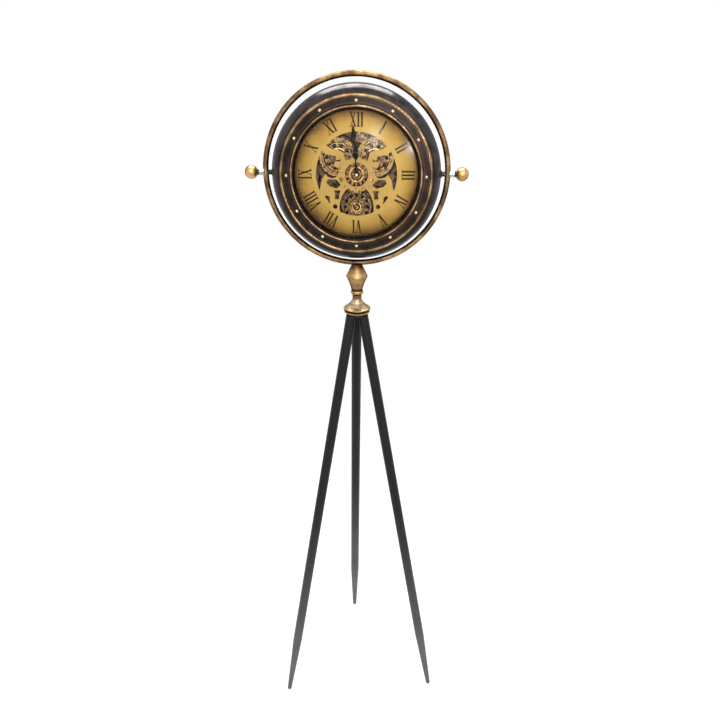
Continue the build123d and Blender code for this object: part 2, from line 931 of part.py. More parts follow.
def dial_plate():
    face = Circle(dial_radius) - Circle(centre_window_radius) - fan_window() - dome_window()
    for window in side_windows():
        face = face - window - mirror(window, about=Plane.YZ)
    screw_hole = disc(dial_screw_radius + fit_gap, dial_y - overrun, dial_thickness + 2 * overrun)
    screw_holes = around_dial(screw_hole, dial_screw_count, dial_screw_circle_radius)
    return plate(face, dial_y, dial_thickness) - screw_holes


def dial_screws():
    shank = disc(dial_screw_radius, dial_y, dial_thickness)
    screw = shank + disc(dial_screw_head_radius, dial_back_y, dial_screw_head_height)
    return around_dial(screw, dial_screw_count, dial_screw_circle_radius)


# Toothed wheels

def involute(angle):
    return tan(angle) - angle


def half_tooth_angle(teeth, radius):
    pressure = radians(pressure_angle_degrees)
    pitch = pitch_radius(teeth)
    base = pitch * cos(pressure)
    here = acos(min(1, base / radius)) if radius > base else 0
    thickness = pi * gear_module / 2 - gear_backlash
    return thickness / (2 * pitch) + involute(pressure) - involute(here)


def toothed_face(teeth, phase):
    tip = pitch_radius(teeth) + gear_module
    root = pitch_radius(teeth) - gear_root_depth_share * gear_module
    points = []
    for i in range(teeth):
        middle = phase + i * 2 * pi / teeth
        for radius, side in ((root, -1), (tip, -1), (tip, 1), (root, 1)):
            angle = middle + side * half_tooth_angle(teeth, radius)
            points.append((radius * cos(angle), radius * sin(angle)))
    return outline(*points)


def meshing_phase(teeth, driver_teeth, driver_phase, direction):
    turned_on = (driver_phase - direction) * driver_teeth / teeth
    return direction + pi + pi / teeth - turned_on


left_phase = 0
right_phase = meshing_phase(side_wheel_teeth, side_wheel_teeth, left_phase, 0)
drive_direction = radians(drive_pinion_angle_degrees)
drive_phase = meshing_phase(drive_pinion_teeth, side_wheel_teeth, right_phase, drive_direction)
to_centre = atan2(-side_wheel_z, side_wheel_x)
side_pinion_phase = 0
centre_phase = meshing_phase(centre_wheel_teeth, side_pinion_teeth, side_pinion_phase, to_centre)
bottom_phase = meshing_phase(bottom_wheel_teeth, centre_wheel_teeth, centre_phase, -pi / 2)


def hole_ring(count, circle_radius, hole):
    step = 360 / count
    return [Rot(0, 0, i * step) * Pos(circle_radius, 0) * hole for i in range(count)]


def side_wheel(phase):
    face = toothed_face(side_wheel_teeth, phase) - Circle(arbor_radius + running_gap)
    face -= hole_ring(side_wheel_hole_count, side_wheel_hole_circle, Circle(side_wheel_hole_radius))
    wheel = plate(face, side_wheel_front_y, wheel_thickness)
    band_outer = side_wheel_band_radius + side_wheel_band_width / 2
    band_inner = side_wheel_band_radius - side_wheel_band_width / 2
    band_y = side_wheel_front_y - side_wheel_band_height
    wheel += tube(band_outer, band_inner, band_y, side_wheel_band_height)
    hub_y = side_wheel_front_y - wheel_hub_height
    return wheel + tube(wheel_hub_radius, arbor_radius + running_gap, hub_y, wheel_hub_height)


def side_pinion():
    bore = arbor_radius + running_gap
    face = toothed_face(side_pinion_teeth, side_pinion_phase) - Circle(bore)
    pinion = plate(face, rear_wheel_front_y, thin_wheel_thickness)
    sleeve_length = rear_wheel_front_y - side_wheel_back_y
    return pinion + tube(wheel_hub_radius, bore, side_wheel_back_y, sleeve_length)


def drive_pinion():
    bore = drive_shaft_radius + fit_gap
    face = toothed_face(drive_pinion_teeth, drive_phase) - Circle(bore)
    pinion = plate(face, side_wheel_front_y, wheel_thickness)
    boss_y = side_wheel_front_y - wheel_hub_height
    return pinion + tube(drive_boss_radius, bore, boss_y, wheel_hub_height)


def centre_front_wheel():
    bore = bush_radius + running_gap
    slot = Rectangle(centre_wheel_slot_length, centre_wheel_slot_width)
    face = toothed_face(centre_wheel_teeth, centre_phase) - Circle(bore)
    face -= hole_ring(centre_wheel_slot_count, centre_wheel_slot_circle, slot)
    wheel = plate(face, front_wheel_front_y, thin_wheel_thickness)
    band_outer = centre_band_radius + centre_band_width / 2
    band_inner = centre_band_radius - centre_band_width / 2
    band_y = front_wheel_front_y - centre_band_height
    return wheel + tube(band_outer, band_inner, band_y, centre_band_height)


def centre_rear_wheel():
    bore = bush_radius + running_gap
    face = toothed_face(centre_wheel_teeth, centre_phase) - Circle(bore)
    wheel = plate(face, rear_wheel_front_y, thin_wheel_thickness)
    sleeve_length = rear_wheel_front_y - front_wheel_back_y
    return wheel + tube(centre_sleeve_radius, bore, front_wheel_back_y, sleeve_length)


def bottom_wheel():
    face = toothed_face(bottom_wheel_teeth, bottom_phase) - Circle(arbor_radius + running_gap)
    face -= hole_ring(bottom_wheel_hole_count, bottom_wheel_hole_circle, Circle(bottom_wheel_hole_radius))
    return plate(face, front_wheel_front_y, thin_wheel_thickness)


def bottom_hub():
    face = toothed_face(bottom_hub_teeth, 0) - Circle(arbor_radius + running_gap)
    hub_y = front_wheel_front_y - bottom_hub_height
    ring_y = hub_y - bottom_hub_ring_height
    ring_inner = bottom_hub_ring_radius - bottom_hub_ring_wall
    hub = plate(face, hub_y, bottom_hub_height)
    hub += tube(bottom_hub_ring_radius, ring_inner, ring_y, bottom_hub_ring_height)
    inner_outer = ring_inner - bottom_hub_ring_wall
    return hub + tube(inner_outer, arbor_radius + running_gap, ring_y, bottom_hub_ring_height)


# Back plate, pillars and fixed arbors

side_place = {side: Pos(sign * side_wheel_x, 0, side_wheel_z) for side, sign in (("left", -1), ("right", 1))}
bottom_place = Pos(0, 0, bottom_wheel_z)
drive_place = Pos(drive_x, 0, drive_z)


def gear_backplate():
    body = disc(backplate_radius, backplate_y, backplate_thickness)
    start = backplate_y - overrun
    through = backplate_thickness + 2 * overrun
    body -= disc(bush_radius + fit_gap, start, through)
    pin_hole = disc(arbor_radius + fit_gap, start, through)
    body -= [place * pin_hole for place in (side_place["left"], side_place["right"], bottom_place)]
    return body - drive_place * disc(arbor_collar_radius, start, through)


def gear_pillars():
    pillar = disc(pillar_radius, dial_back_y, backplate_y - dial_back_y)
    reach = pillar_circle_radius
    return [
        Pos(reach * cos(radians(angle)), 0, reach * sin(radians(angle))) * pillar for angle in pillar_angles
    ]


def fixed_arbor(nose_y, collar_y):
    pin = disc(arbor_radius, nose_y, movement_front_y - nose_y)
    return pin + disc(arbor_collar_radius, collar_y, backplate_y - collar_y)


def gear_arbors():
    side_nose = side_wheel_front_y - wheel_hub_height - arbor_nose
    bottom_nose = front_wheel_front_y - bottom_hub_height - arbor_nose
    return [
        side_place["left"] * fixed_arbor(side_nose, rear_wheel_back_y + turning_gap),
        side_place["right"] * fixed_arbor(side_nose, side_wheel_back_y + turning_gap),
        bottom_place * fixed_arbor(bottom_nose, front_wheel_back_y + turning_gap),
    ]


# Quartz movement, drive unit and their cells

cell_y = movement_back_y - cell_gap - cell_radius


def cell_bay(z):
    width = cell_length + 2 * cell_gap
    height = 2 * (cell_radius + cell_gap)
    face = Pos(0, z) * Rectangle(width, height)
    start = cell_y - cell_radius - cell_gap
    return plate(face, start, movement_back_y - start + overrun)


def cell(z):
    return Pos(0, cell_y, z) * (Rot(0, 90, 0) * Cylinder(cell_radius, cell_length))


def movement_case():
    body = plate(Rectangle(movement_width, movement_height), movement_front_y, movement_depth)
    body -= cell_bay(cell_bay_z)
    body -= disc(hour_pipe_radius + running_gap, movement_front_y - overrun, hour_pipe_tail + overrun)
    body -= disc(minute_arbor_radius + running_gap, movement_front_y - overrun, minute_arbor_tail + overrun)
    stem_start = movement_back_y - setting_stem_length
    stem_hole = disc(setting_stem_radius + running_gap, stem_start, setting_stem_length + overrun)
    return body - Pos(setting_wheel_x, 0, setting_wheel_z) * stem_hole


def movement_bush():
    return tube(bush_radius, hour_pipe_radius + running_gap, bush_front_y, movement_front_y - bush_front_y)


def movement_nut():
    face = RegularPolygon(movement_nut_radius, 6) - Circle(bush_radius + fit_gap)
    return plate(face, backplate_y - movement_nut_thickness, movement_nut_thickness)


def drive_unit():
    face = Pos(0, drive_unit_rise) * Rectangle(drive_unit_width, drive_unit_height)
    body = plate(face, movement_front_y, movement_depth)
    body -= cell_bay(drive_bay_rise)
    body -= disc(drive_shaft_radius + running_gap, movement_front_y - overrun, drive_shaft_bite + overrun)
    return drive_place * body


def drive_shaft():
    nose = side_wheel_front_y - wheel_hub_height - arbor_nose
    tail = movement_front_y + drive_shaft_bite - turning_gap
    return drive_place * disc(drive_shaft_radius, nose, tail - nose)


def setting_wheel():
    wheel = disc(setting_wheel_radius, movement_back_y + setting_wheel_lift, setting_wheel_thickness)
    stem_start = movement_back_y - setting_stem_length + turning_gap
    stem = disc(setting_stem_radius, stem_start, movement_back_y + setting_wheel_lift - stem_start)
    return Pos(setting_wheel_x, 0, setting_wheel_z) * (wheel + stem)


# Hands

def half_outline(points):
    return outline(*points, *[(-x, z) for x, z in reversed(points) if x > 0])


def scaled_hand(shares, half_width, length):
    return [(x * half_width, z * length) for x, z in shares]


def minute_hand():
    stem = hand_stem_width / 2
    leaf = scaled_hand(minute_leaf_shares, minute_hand_leaf_width / 2, minute_hand_length)
    stem_top = minute_hand_length * minute_stem_share
    face = half_outline([(stem, 0), (stem, stem_top)] + leaf + [(0, minute_hand_length)])
    face = face + Circle(minute_hand_boss_radius) - Circle(minute_arbor_radius + fit_gap)
    hand = plate(face, minute_hand_y, hand_thickness)
    return Rot(0, minute_hand_degrees, 0) * hand


def hour_hand():
    stem = hand_stem_width / 2
    boss = hour_hand_boss_width / 2
    length = hour_hand_length
    points = scaled_hand(hour_boss_shares, boss, boss) + scaled_hand(hour_shoulder_shares, boss, length)
    points += [(stem, length * share) for share in hour_stem_shares]
    points += scaled_hand(hour_leaf_shares, hour_hand_leaf_width / 2, length)
    face = half_outline(points + [(0, length)])
    face = face - Circle(hour_pipe_radius + fit_gap)
    hand = plate(face, hour_hand_y, hand_thickness)
    return Rot(0, hour_hand_degrees, 0) * hand


def hour_pipe():
    tail = movement_front_y + hour_pipe_tail - turning_gap
    return tube(hour_pipe_radius, minute_arbor_radius + running_gap, hour_hand_y, tail - hour_hand_y)


def minute_arbor():
    tail = movement_front_y + minute_arbor_tail - turning_gap
    return disc(minute_arbor_radius, minute_hand_y, tail - minute_hand_y)


def hand_cap():
    return dome(hand_cap_radius, minute_hand_y, hand_cap_height)


# Write one file for each node

def save_stand():
    for name, angle in zip(foot_names, foot_angles):
        place = neck_place * Rot(0, 0, angle)
        save(f"leg_lower_{name}", place * lower_leg())
        save(f"leg_upper_{name}", place * upper_leg())
    turned = [neck_place * Rot(0, 0, angle) for angle in foot_angles]
    save("leg_joint_studs", *[place * leg_joint_stud() for place in turned])
    save("leg_hanger_bolts", *[place * hanger_bolt() for place in turned])
    save("hub_base", neck_place * hub_base())
    save("hub_disc", neck_place * hub_disc())
    save("bell", neck_place * bell())
    save("neck_ring", neck_place * neck_ring())
    save("bulb", neck_place * bulb())
    save("tie_rod", neck_place * tie_rod())
    save("ring_frame", head_place * ring_frame())
    for name, make in (("outer_sleeves", outer_sleeve), ("inner_sleeves", inner_sleeve)):
        save(name, *both_sides(make()))


def both_sides(piece):
    return [head_place * mirror(piece, about=Plane.YZ), head_place * piece]


def save_head():
    save("pivot_studs", *both_sides(pivot_stud()))
    save("pivot_bosses", *both_sides(pivot_boss()))
    save("boss_nuts", *both_sides(boss_nut()))
    for side, ball, collar in zip(("left", "right"), both_sides(knob_ball()), both_sides(knob_collar())):
        save(f"knob_ball_{side}", ball)
        save(f"knob_collar_{side}", collar)
    save("case_drum", head_place * case_drum())
    save("bezel", head_place * bezel())
    save("bezel_rivets", *[head_place * rivet for rivet in bezel_rivets()])
    save("glass", head_place * glass())
    save("dial_spacer", head_place * dial_spacer())
    save("dial_plate", head_place * dial_plate())
    save("dial_screws", *[head_place * screw for screw in dial_screws()])
    save("back_cover", head_place * back_cover())
    save("back_screws", *[head_place * screw for screw in back_screws()])


def save_wheels():
    for side, phase in (("left", left_phase), ("right", right_phase)):
        save(f"{side}_wheel", head_place * side_place[side] * side_wheel(phase))
    save("left_pinion", head_place * side_place["left"] * side_pinion())
    save("drive_pinion", head_place * drive_place * drive_pinion())
    save("drive_shaft", head_place * drive_shaft())
    save("centre_wheel", head_place * centre_front_wheel())
    save("centre_rear_wheel", head_place * centre_rear_wheel())
    save("bottom_wheel", head_place * bottom_place * bottom_wheel())
    save("bottom_hub", head_place * bottom_place * bottom_hub())
    save("gear_backplate", head_place * gear_backplate())
    save("gear_pillars", *[head_place * pillar for pillar in gear_pillars()])
    save("gear_arbors", *[head_place * arbor for arbor in gear_arbors()])


def save_movement():
    save("movement_case", head_place * movement_case())
    save("movement_bush", head_place * movement_bush())
    save("movement_nut", head_place * movement_nut())
    save("drive_unit", head_place * drive_unit())
    save("power_cells", head_place * cell(cell_bay_z), head_place * drive_place * cell(drive_bay_rise))
    save("setting_wheel", head_place * setting_wheel())
    save("minute_hand", head_place * minute_hand())
    save("minute_arbor", head_place * minute_arbor())
    save("hand_cap", head_place * hand_cap())
    save("hour_hand", head_place * hour_hand())
    save("hour_pipe", head_place * hour_pipe())


os.makedirs("parts", exist_ok=True)
save_stand()
save_head()
save_wheels()
save_movement()
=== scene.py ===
import json
import math

import bmesh
import bpy
from mathutils import Matrix, Vector


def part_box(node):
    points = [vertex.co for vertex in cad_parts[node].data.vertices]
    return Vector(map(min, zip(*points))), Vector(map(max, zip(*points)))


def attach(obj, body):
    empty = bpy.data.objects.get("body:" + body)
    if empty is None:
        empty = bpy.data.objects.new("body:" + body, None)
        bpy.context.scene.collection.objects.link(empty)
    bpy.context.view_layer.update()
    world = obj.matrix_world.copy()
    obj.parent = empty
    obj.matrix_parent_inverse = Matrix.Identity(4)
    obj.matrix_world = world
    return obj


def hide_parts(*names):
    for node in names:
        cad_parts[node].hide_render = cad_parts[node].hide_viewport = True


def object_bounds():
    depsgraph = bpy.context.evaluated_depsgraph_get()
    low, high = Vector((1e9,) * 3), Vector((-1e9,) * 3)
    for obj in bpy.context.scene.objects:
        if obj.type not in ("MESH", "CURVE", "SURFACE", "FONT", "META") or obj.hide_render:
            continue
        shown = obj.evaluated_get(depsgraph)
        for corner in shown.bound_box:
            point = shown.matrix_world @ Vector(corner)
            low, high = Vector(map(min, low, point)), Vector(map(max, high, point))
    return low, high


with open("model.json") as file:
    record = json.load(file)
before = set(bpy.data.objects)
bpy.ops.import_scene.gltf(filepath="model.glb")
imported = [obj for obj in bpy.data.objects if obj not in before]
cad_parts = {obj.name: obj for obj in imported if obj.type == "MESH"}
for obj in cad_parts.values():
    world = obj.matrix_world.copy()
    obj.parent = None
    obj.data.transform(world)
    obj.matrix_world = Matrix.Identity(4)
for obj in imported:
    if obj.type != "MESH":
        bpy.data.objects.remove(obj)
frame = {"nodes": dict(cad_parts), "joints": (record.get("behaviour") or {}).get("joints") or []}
nodes = frame["nodes"]
cad_low, cad_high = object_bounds()

MM = 0.001
TILT = next(joint for joint in frame["joints"] if joint["name"] == "head_tilt")
HEAD = Vector(TILT["pos_m"])  # where the dial's axis crosses the line of the two knobs

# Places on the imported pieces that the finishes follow. Radii run from the dial's axis.
RING_BAR_RADIUS = 5.8 * MM
RING_BAR_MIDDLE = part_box("ring_frame")[1].x - RING_BAR_RADIUS
OUTER_RIDGE = 151.5 * MM
INNER_RIDGE = 132 * MM
CHANNEL_BAND = 137.4 * MM
DIAL_RIM_LINE = 122.4 * MM
DIAL_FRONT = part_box("dial_plate")[0].y
SKIRT_LENGTH = 9 * MM
SKIRT_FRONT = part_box("bezel")[1].y - SKIRT_LENGTH  # the straight skirt behind the shoulder
NECK_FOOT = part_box("bell")[0].z

# Sockets for colours on the Mix node, which has others for its other kinds of mix.
MIX_SHARE, MIX_FIRST, MIX_SECOND, MIX_RESULT = 0, 6, 7, 2


def tone(red, green, blue):
    """A colour as a screen shows it, 0 to 255, turned into the light values that a shader takes.
    The numbers are those of the curve that every screen's colours follow."""
    light = []
    for part in (red, green, blue):
        share = part / 255
        light.append(share / 12.92 if share <= 0.04045 else ((share + 0.055) / 1.055) ** 2.4)
    return (*light, 1.0)


class Finish:
    """One material, with short calls that lay down the nodes of its finish."""

    def __init__(self, name, **sockets):
        self.material = bpy.data.materials.new(name)
        self.material.use_nodes = True
        self.tree = self.material.node_tree
        self.shader = self.tree.nodes["Principled BSDF"]
        for socket, value in sockets.items():
            self.shader.inputs[socket.replace("_", " ")].default_value = value

    def feed(self, socket, value):
        if isinstance(value, bpy.types.NodeSocket):
            self.tree.links.new(value, socket)
        else:
            socket.default_value = value

    def node(self, kind, values=(), **settings):
        made = self.tree.nodes.new(kind)
        for key, value in settings.items():
            setattr(made, key, value)
        for place, value in enumerate(values):
            if value is not None:
                self.feed(made.inputs[place], value)
        return made

    def maths(self, operation, *values):
        return self.node("ShaderNodeMath", values, operation=operation).outputs[0]

    def place(self, centre=(0, 0, 0), unit=(1, 1, 1)):
        """Places on the piece, counted from a centre, in units that may differ along each axis."""
        spot = self.node("ShaderNodeTexCoord").outputs["Object"]
        return self.node("ShaderNodeMapping", (spot, centre, None, unit),
                         vector_type="TEXTURE").outputs[0]

    def split(self, vector):
        return self.node("ShaderNodeSeparateXYZ", (vector,)).outputs

    def radius(self, centre, along=1):
        """Distance from a line through the centre, which runs along one axis."""
        flat = [1, 1, 1]
        flat[along] = 0
        kept = self.node("ShaderNodeVectorMath", (self.place(centre), flat), operation="MULTIPLY")
        return self.length(kept.outputs[0])

    def length(self, vector):
        made = self.node("ShaderNodeVectorMath", (vector,), operation="LENGTH")
        return made.outputs["Value"]

    def brushed(self, size, arc_per_radian):
        """Brush marks round the dial's axis. The shorter the arc, in m, that a radian counts as,
        the longer they are drawn out."""
        x, depth, z = self.split(self.place(HEAD))
        arc = self.maths("MULTIPLY", self.maths("ARCTAN2", x, z), arc_per_radian)
        wound = self.node("ShaderNodeCombineXYZ", (arc, self.radius(HEAD), depth)).outputs[0]
        return self.noise(size, wound, detail=4.0)

    def noise(self, size, where=None, detail=3.0, rough=0.55):
        where = where if where is not None else self.place()
        made = self.node("ShaderNodeTexNoise", (where,))
        for socket, value in (("Scale", 1 / size), ("Detail", detail), ("Roughness", rough)):
            made.inputs[socket].default_value = value
        return made.outputs[0]

    def range(self, value, low, high, start=0.0, end=1.0):
        """A smooth rise or fall of a value between two marks."""
        made = self.node("ShaderNodeMapRange", (value, low, high, start, end),
                         interpolation_type="SMOOTHSTEP")
        return made.outputs[0]

    def spread(self, noise, start=0.0, end=1.0):
        """The middle values of a noise, which are most of it, spread from start to end."""
        return self.range(noise, 0.3, 0.7, start, end)

    def near(self, value, mark, width):
        """1 on a mark, falling to 0 at the width on either side."""
        gap = self.maths("ABSOLUTE", self.maths("SUBTRACT", value, mark))
        return self.range(gap, 0.0, width, 1.0, 0.0)

    def zones(self, value, reach, stops):
        """Tones by distance, with marks in mm: far apart they change softly, close by sharply."""
        share = self.maths("DIVIDE", value, reach * MM)
        ramp = self.node("ShaderNodeValToRGB", (share,))
        marks = ramp.color_ramp.elements
        marks[0].position, marks[0].color = stops[0][0] / reach, stops[0][1]
        marks[1].position, marks[1].color = stops[-1][0] / reach, stops[-1][1]
        for place, shade in stops[1:-1]:
            mark = marks.new(place / reach)
            mark.color = shade
        return ramp.outputs[0]

    def mix(self, share, first, second):
        made = self.node("ShaderNodeMix", data_type="RGBA")
        for place, value in ((MIX_SHARE, share), (MIX_FIRST, first), (MIX_SECOND, second)):
            self.feed(made.inputs[place], value)
        return made.outputs[MIX_RESULT]

    def lay(self, colour, roughness, height, relief, strength):
        """Joins colour, roughness and relief to the shader. What is None keeps its plain value."""
        for socket, value in (("Base Color", colour), ("Roughness", roughness)):
            if value is not None:
                self.feed(self.shader.inputs[socket], value)
        bump = self.node("ShaderNodeBump")
        for socket, value in (("Strength", strength), ("Distance", relief), ("Height", height)):
            self.feed(bump.inputs[socket], value)
        self.feed(self.shader.inputs["Normal"], bump.outputs[0])
        return self.material


EDGE_TINT = (0.2, 0.15, 0.11, 1.0)  # brown, so that brass stays brown where it is seen edge-on
FLOOR_LIGHT_FROM, FLOOR_LIGHT_TO = 0.62, -0.12  # heights in m between which painted light from the floor greys the legs: none above one, full only at the other


def painted_wood():
    """Satin black paint on turned wood, with a long grain, and painted light from the floor that
    turns it grey towards the foot.
    """
    f = Finish("leg_satin_black", Specular_IOR_Level=0.22)
    grain = f.noise(0.004, f.place(unit=(1, 1, 14)), detail=4.0)
    cloud = f.noise(0.06, detail=2.0)
    height = f.split(f.place())[2]
    # painted light from the floor: the black paint turns grey, in patches, towards the foot
    rub_and_painted_light = f.maths("MULTIPLY", f.range(height, FLOOR_LIGHT_FROM, FLOOR_LIGHT_TO),
                     f.range(cloud, 0.25, 0.75, 0.75, 1.0))
    black = f.mix(grain, tone(14, 13, 12), tone(30, 28, 26))
    grey = f.mix(grain, tone(98, 97, 97), tone(134, 132, 132))
    toned = f.mix(rub_and_painted_light, black, grey)
    return f.lay(toned, f.range(grain, 0.2, 0.8, 0.36, 0.52), grain, 0.25 * MM, 0.35)


def black_enamel(name, dark, light, rough, shine=0.3):
    """Dark paint or ink with a faint cloud in its tone and gloss."""
    f = Finish(name, Specular_IOR_Level=shine)
    cloud = f.noise(0.012, detail=4.0)
    speck = f.noise(0.0012, detail=2.0)
    colour = f.mix(f.range(cloud, 0.35, 0.7), dark, light)
    return f.lay(colour, f.spread(cloud, rough, rough + 0.14), speck, 0.08 * MM, 0.3)


def ring_brass():
    """Antique brass on the bent bar: dark patches, brushed along the bar, and black on its inner
    side, partly its patina and partly painted shade.
    """
    f = Finish("ring_antique_brass", Metallic=0.9, Specular_Tint=EDGE_TINT)
    brush = f.brushed(0.0011, 0.0152)
    patch = f.noise(0.055, detail=5.0, rough=0.66)
    brass = f.mix(f.range(patch, 0.38, 0.66), tone(92, 69, 50), tone(178, 144, 98))
    brass = f.mix(f.range(brush, 0.46, 0.74, 0.0, 0.85), brass, tone(78, 57, 40))
    # the inner side of the bar goes black: partly patina, partly painted shade
    depth = f.maths("ADD", f.radius(HEAD), f.range(patch, 0.2, 0.8, -0.6 * MM, 0.6 * MM))
    inner_patina_and_shade = f.range(depth, RING_BAR_MIDDLE - 2.4 * MM, RING_BAR_MIDDLE - 3.6 * MM)
    colour = f.mix(inner_patina_and_shade, brass, tone(24, 18, 15))
    return f.lay(colour, f.range(brush, 0.2, 0.8, 0.36, 0.54), brush, 0.15 * MM, 0.3)


def lathe_lines(f, along, ridge):
    """Fine lines round a turned piece, as the tool leaves them."""
    step = f.split(f.place(HEAD))[along]
    rings = f.node("ShaderNodeCombineXYZ", (0.0, 0.0, step)).outputs[0]
    return f.noise(ridge, rings, detail=4.0, rough=0.7)


def turned_brass(name, along, light, mid, dark, ridge, shaded_hollow=None):
    """Antique brass off the lathe: fine turned lines, pale where handled. A shaded groove comes
    with the radii, in mm, where its painted shade starts and where it is full."""
    f = Finish(name, Metallic=0.96, Specular_Tint=EDGE_TINT)
    line = lathe_lines(f, along, ridge)
    patch = f.noise(0.014, detail=4.0, rough=0.6)
    colour = f.mix(f.range(patch, 0.35, 0.65), mid, light)
    colour = f.mix(f.range(line, 0.5, 0.7), colour, dark)
    if shaded_hollow:
        # painted shade in the groove, under the part that stands over it
        clear, deep = shaded_hollow
        colour = f.mix(f.range(f.radius(HEAD, along), clear * MM, deep * MM), colour,
                       tone(24, 16, 11))
    return f.lay(colour, f.spread(patch, 0.36, 0.26), line, 0.3 * MM, 0.6)


# Tones of the brass neck, by height in mm above its foot, in these rows: the bell's bottom edge,
# black as painted shade under its rim, its pale lip, a painted highlight, its slope, palest at
# mid-height as a painted highlight, its brown waist, the bright ring, the near-black groove over
# it, the bulb, and the bulb's dark top.
NECK_TONES_AND_PAINTED_LIGHT = ((0, (18, 12, 9)), (3.0, (18, 12, 9)),
              (3.6, (234, 206, 156)), (6.4, (234, 204, 150)),
              (7.4, (202, 178, 142)), (18, (216, 196, 164)), (26, (146, 120, 92)),
              (32, (116, 86, 60)), (36, (104, 74, 52)),
              (36.6, (204, 168, 110)), (43.4, (190, 152, 96)),
              (43.9, (20, 13, 9)), (47.4, (20, 13, 9)),
              (48.2, (140, 116, 82)), (62, (162, 132, 92)), (82, (190, 160, 112)),
              (92, (156, 122, 80)), (98, (78, 52, 34)), (104, (44, 28, 19)))
NECK_TOP = NECK_TONES_AND_PAINTED_LIGHT[-1][0]


def neck_brass():
    """The turned neck: brass with lathe lines, and by height painted shade under the bell's rim, a
    painted highlight on its lip and slope, and a near-black groove over the ring.
    """
    f = Finish("neck_antique_brass", Metallic=0.96, Specular_Tint=EDGE_TINT)
    height = f.maths("SUBTRACT", f.split(f.place())[2], NECK_FOOT)
    # tones by height, with the painted shade and highlights listed above
    brass = f.zones(height, NECK_TOP, [(mark, tone(*shade)) for mark, shade in NECK_TONES_AND_PAINTED_LIGHT])
    line = lathe_lines(f, 2, 4.4 * MM)
    patch = f.noise(0.012, detail=4.0, rough=0.6)
    toned = f.mix(f.range(patch, 0.36, 0.64, 0.0, 0.45), brass, tone(112, 80, 52))
    lined = f.mix(f.range(line, 0.5, 0.64, 0.0, 0.75), toned, tone(84, 56, 34))
    return f.lay(lined, f.spread(patch, 0.38, 0.28), line, 0.35 * MM, 0.7)


def bezel_bronze():
    """Blackened bronze, with bright brass along both ridges where wear has bared it, and a flank
    that is polished in front, dull on its skirt, and darker below as painted shade."""
    f = Finish("bezel_dark_bronze", Metallic=0.95, Coat_Weight=0.2, Coat_Roughness=0.22)
    out = f.radius(HEAD)
    brush = f.brushed(0.0013, 0.0105)
    cloud = f.noise(0.03, detail=4.0, rough=0.6)
    mottled = f.spread(cloud)
    bronze = f.mix(mottled, tone(18, 13, 10), tone(44, 33, 26))
    depth, height = f.split(f.place(HEAD))[1:]
    flank = f.range(out, OUTER_RIDGE + 4 * MM, OUTER_RIDGE + 9 * MM)
    upper = f.mix(mottled, tone(42, 38, 37), tone(72, 67, 66))
    shaded_lower_flank = f.mix(mottled, tone(14, 11, 10), tone(26, 22, 20))
    # painted shade: the flank turns darker towards the bottom
    side = f.mix(f.range(height, -20 * MM, -110 * MM), upper, shaded_lower_flank)
    bronze = f.mix(flank, bronze, side)
    # a lighter brown band along the channel
    toned = f.maths("MULTIPLY", f.near(out, CHANNEL_BAND, 1.6 * MM), 0.5)
    bronze = f.mix(toned, bronze, tone(84, 64, 48))
    rub_and_painted_light = f.maths("MAXIMUM", f.near(out, OUTER_RIDGE, 4.2 * MM),
                     f.near(out, INNER_RIDGE, 3.0 * MM))
    rub_and_painted_light = f.maths("MULTIPLY", rub_and_painted_light, f.range(brush, 0.34, 0.62, 0.42, 1.0))
    rub_and_painted_light = f.maths("MULTIPLY", rub_and_painted_light, f.range(cloud, 0.25, 0.6, 0.7, 1.0))
    brass = f.mix(f.range(cloud, 0.35, 0.65), tone(150, 112, 72), tone(212, 174, 126))
    colour = f.mix(rub_and_painted_light, bronze, brass)
    skirt = SKIRT_FRONT - HEAD.y
    polish = f.maths("MULTIPLY", flank, f.range(depth, skirt - MM, skirt + 2 * MM, 0.12, -0.14))
    roughness = f.maths("SUBTRACT", f.range(rub_and_painted_light, 0.0, 1.0, 0.32, 0.26), polish)
    return f.lay(colour, roughness, brush, 0.1 * MM, 0.2)


def sheet_bronze():
    """Dark bronze enamel on sheet steel, for the drum, its bosses and its back."""
    f = Finish("drum_dark_bronze", Metallic=0.9, Coat_Weight=0.3, Coat_Roughness=0.25)
    cloud = f.noise(0.035, detail=5.0, rough=0.62)
    streak = f.noise(0.0016, f.place(unit=(1, 9, 1)))
    colour = f.mix(f.spread(cloud), tone(20, 18, 19), tone(44, 39, 39))
    colour = f.mix(f.range(streak, 0.6, 0.8), colour, tone(66, 54, 46))
    return f.lay(colour, f.spread(cloud, 0.4, 0.52), streak, 0.08 * MM, 0.3)


def metal(name, dark, light, rough, cloud_size=0.01):
    """A metal with a soft change of tone and a fine grain."""
    f = Finish(name, Metallic=1.0)
    cloud = f.noise(cloud_size, detail=4.0, rough=0.6)
    grain = f.noise(0.0008, detail=2.0)
    colour = f.mix(f.spread(cloud), dark, light)
    return f.lay(colour, f.spread(cloud, rough, rough + 0.12), grain, 0.05 * MM, 0.25)


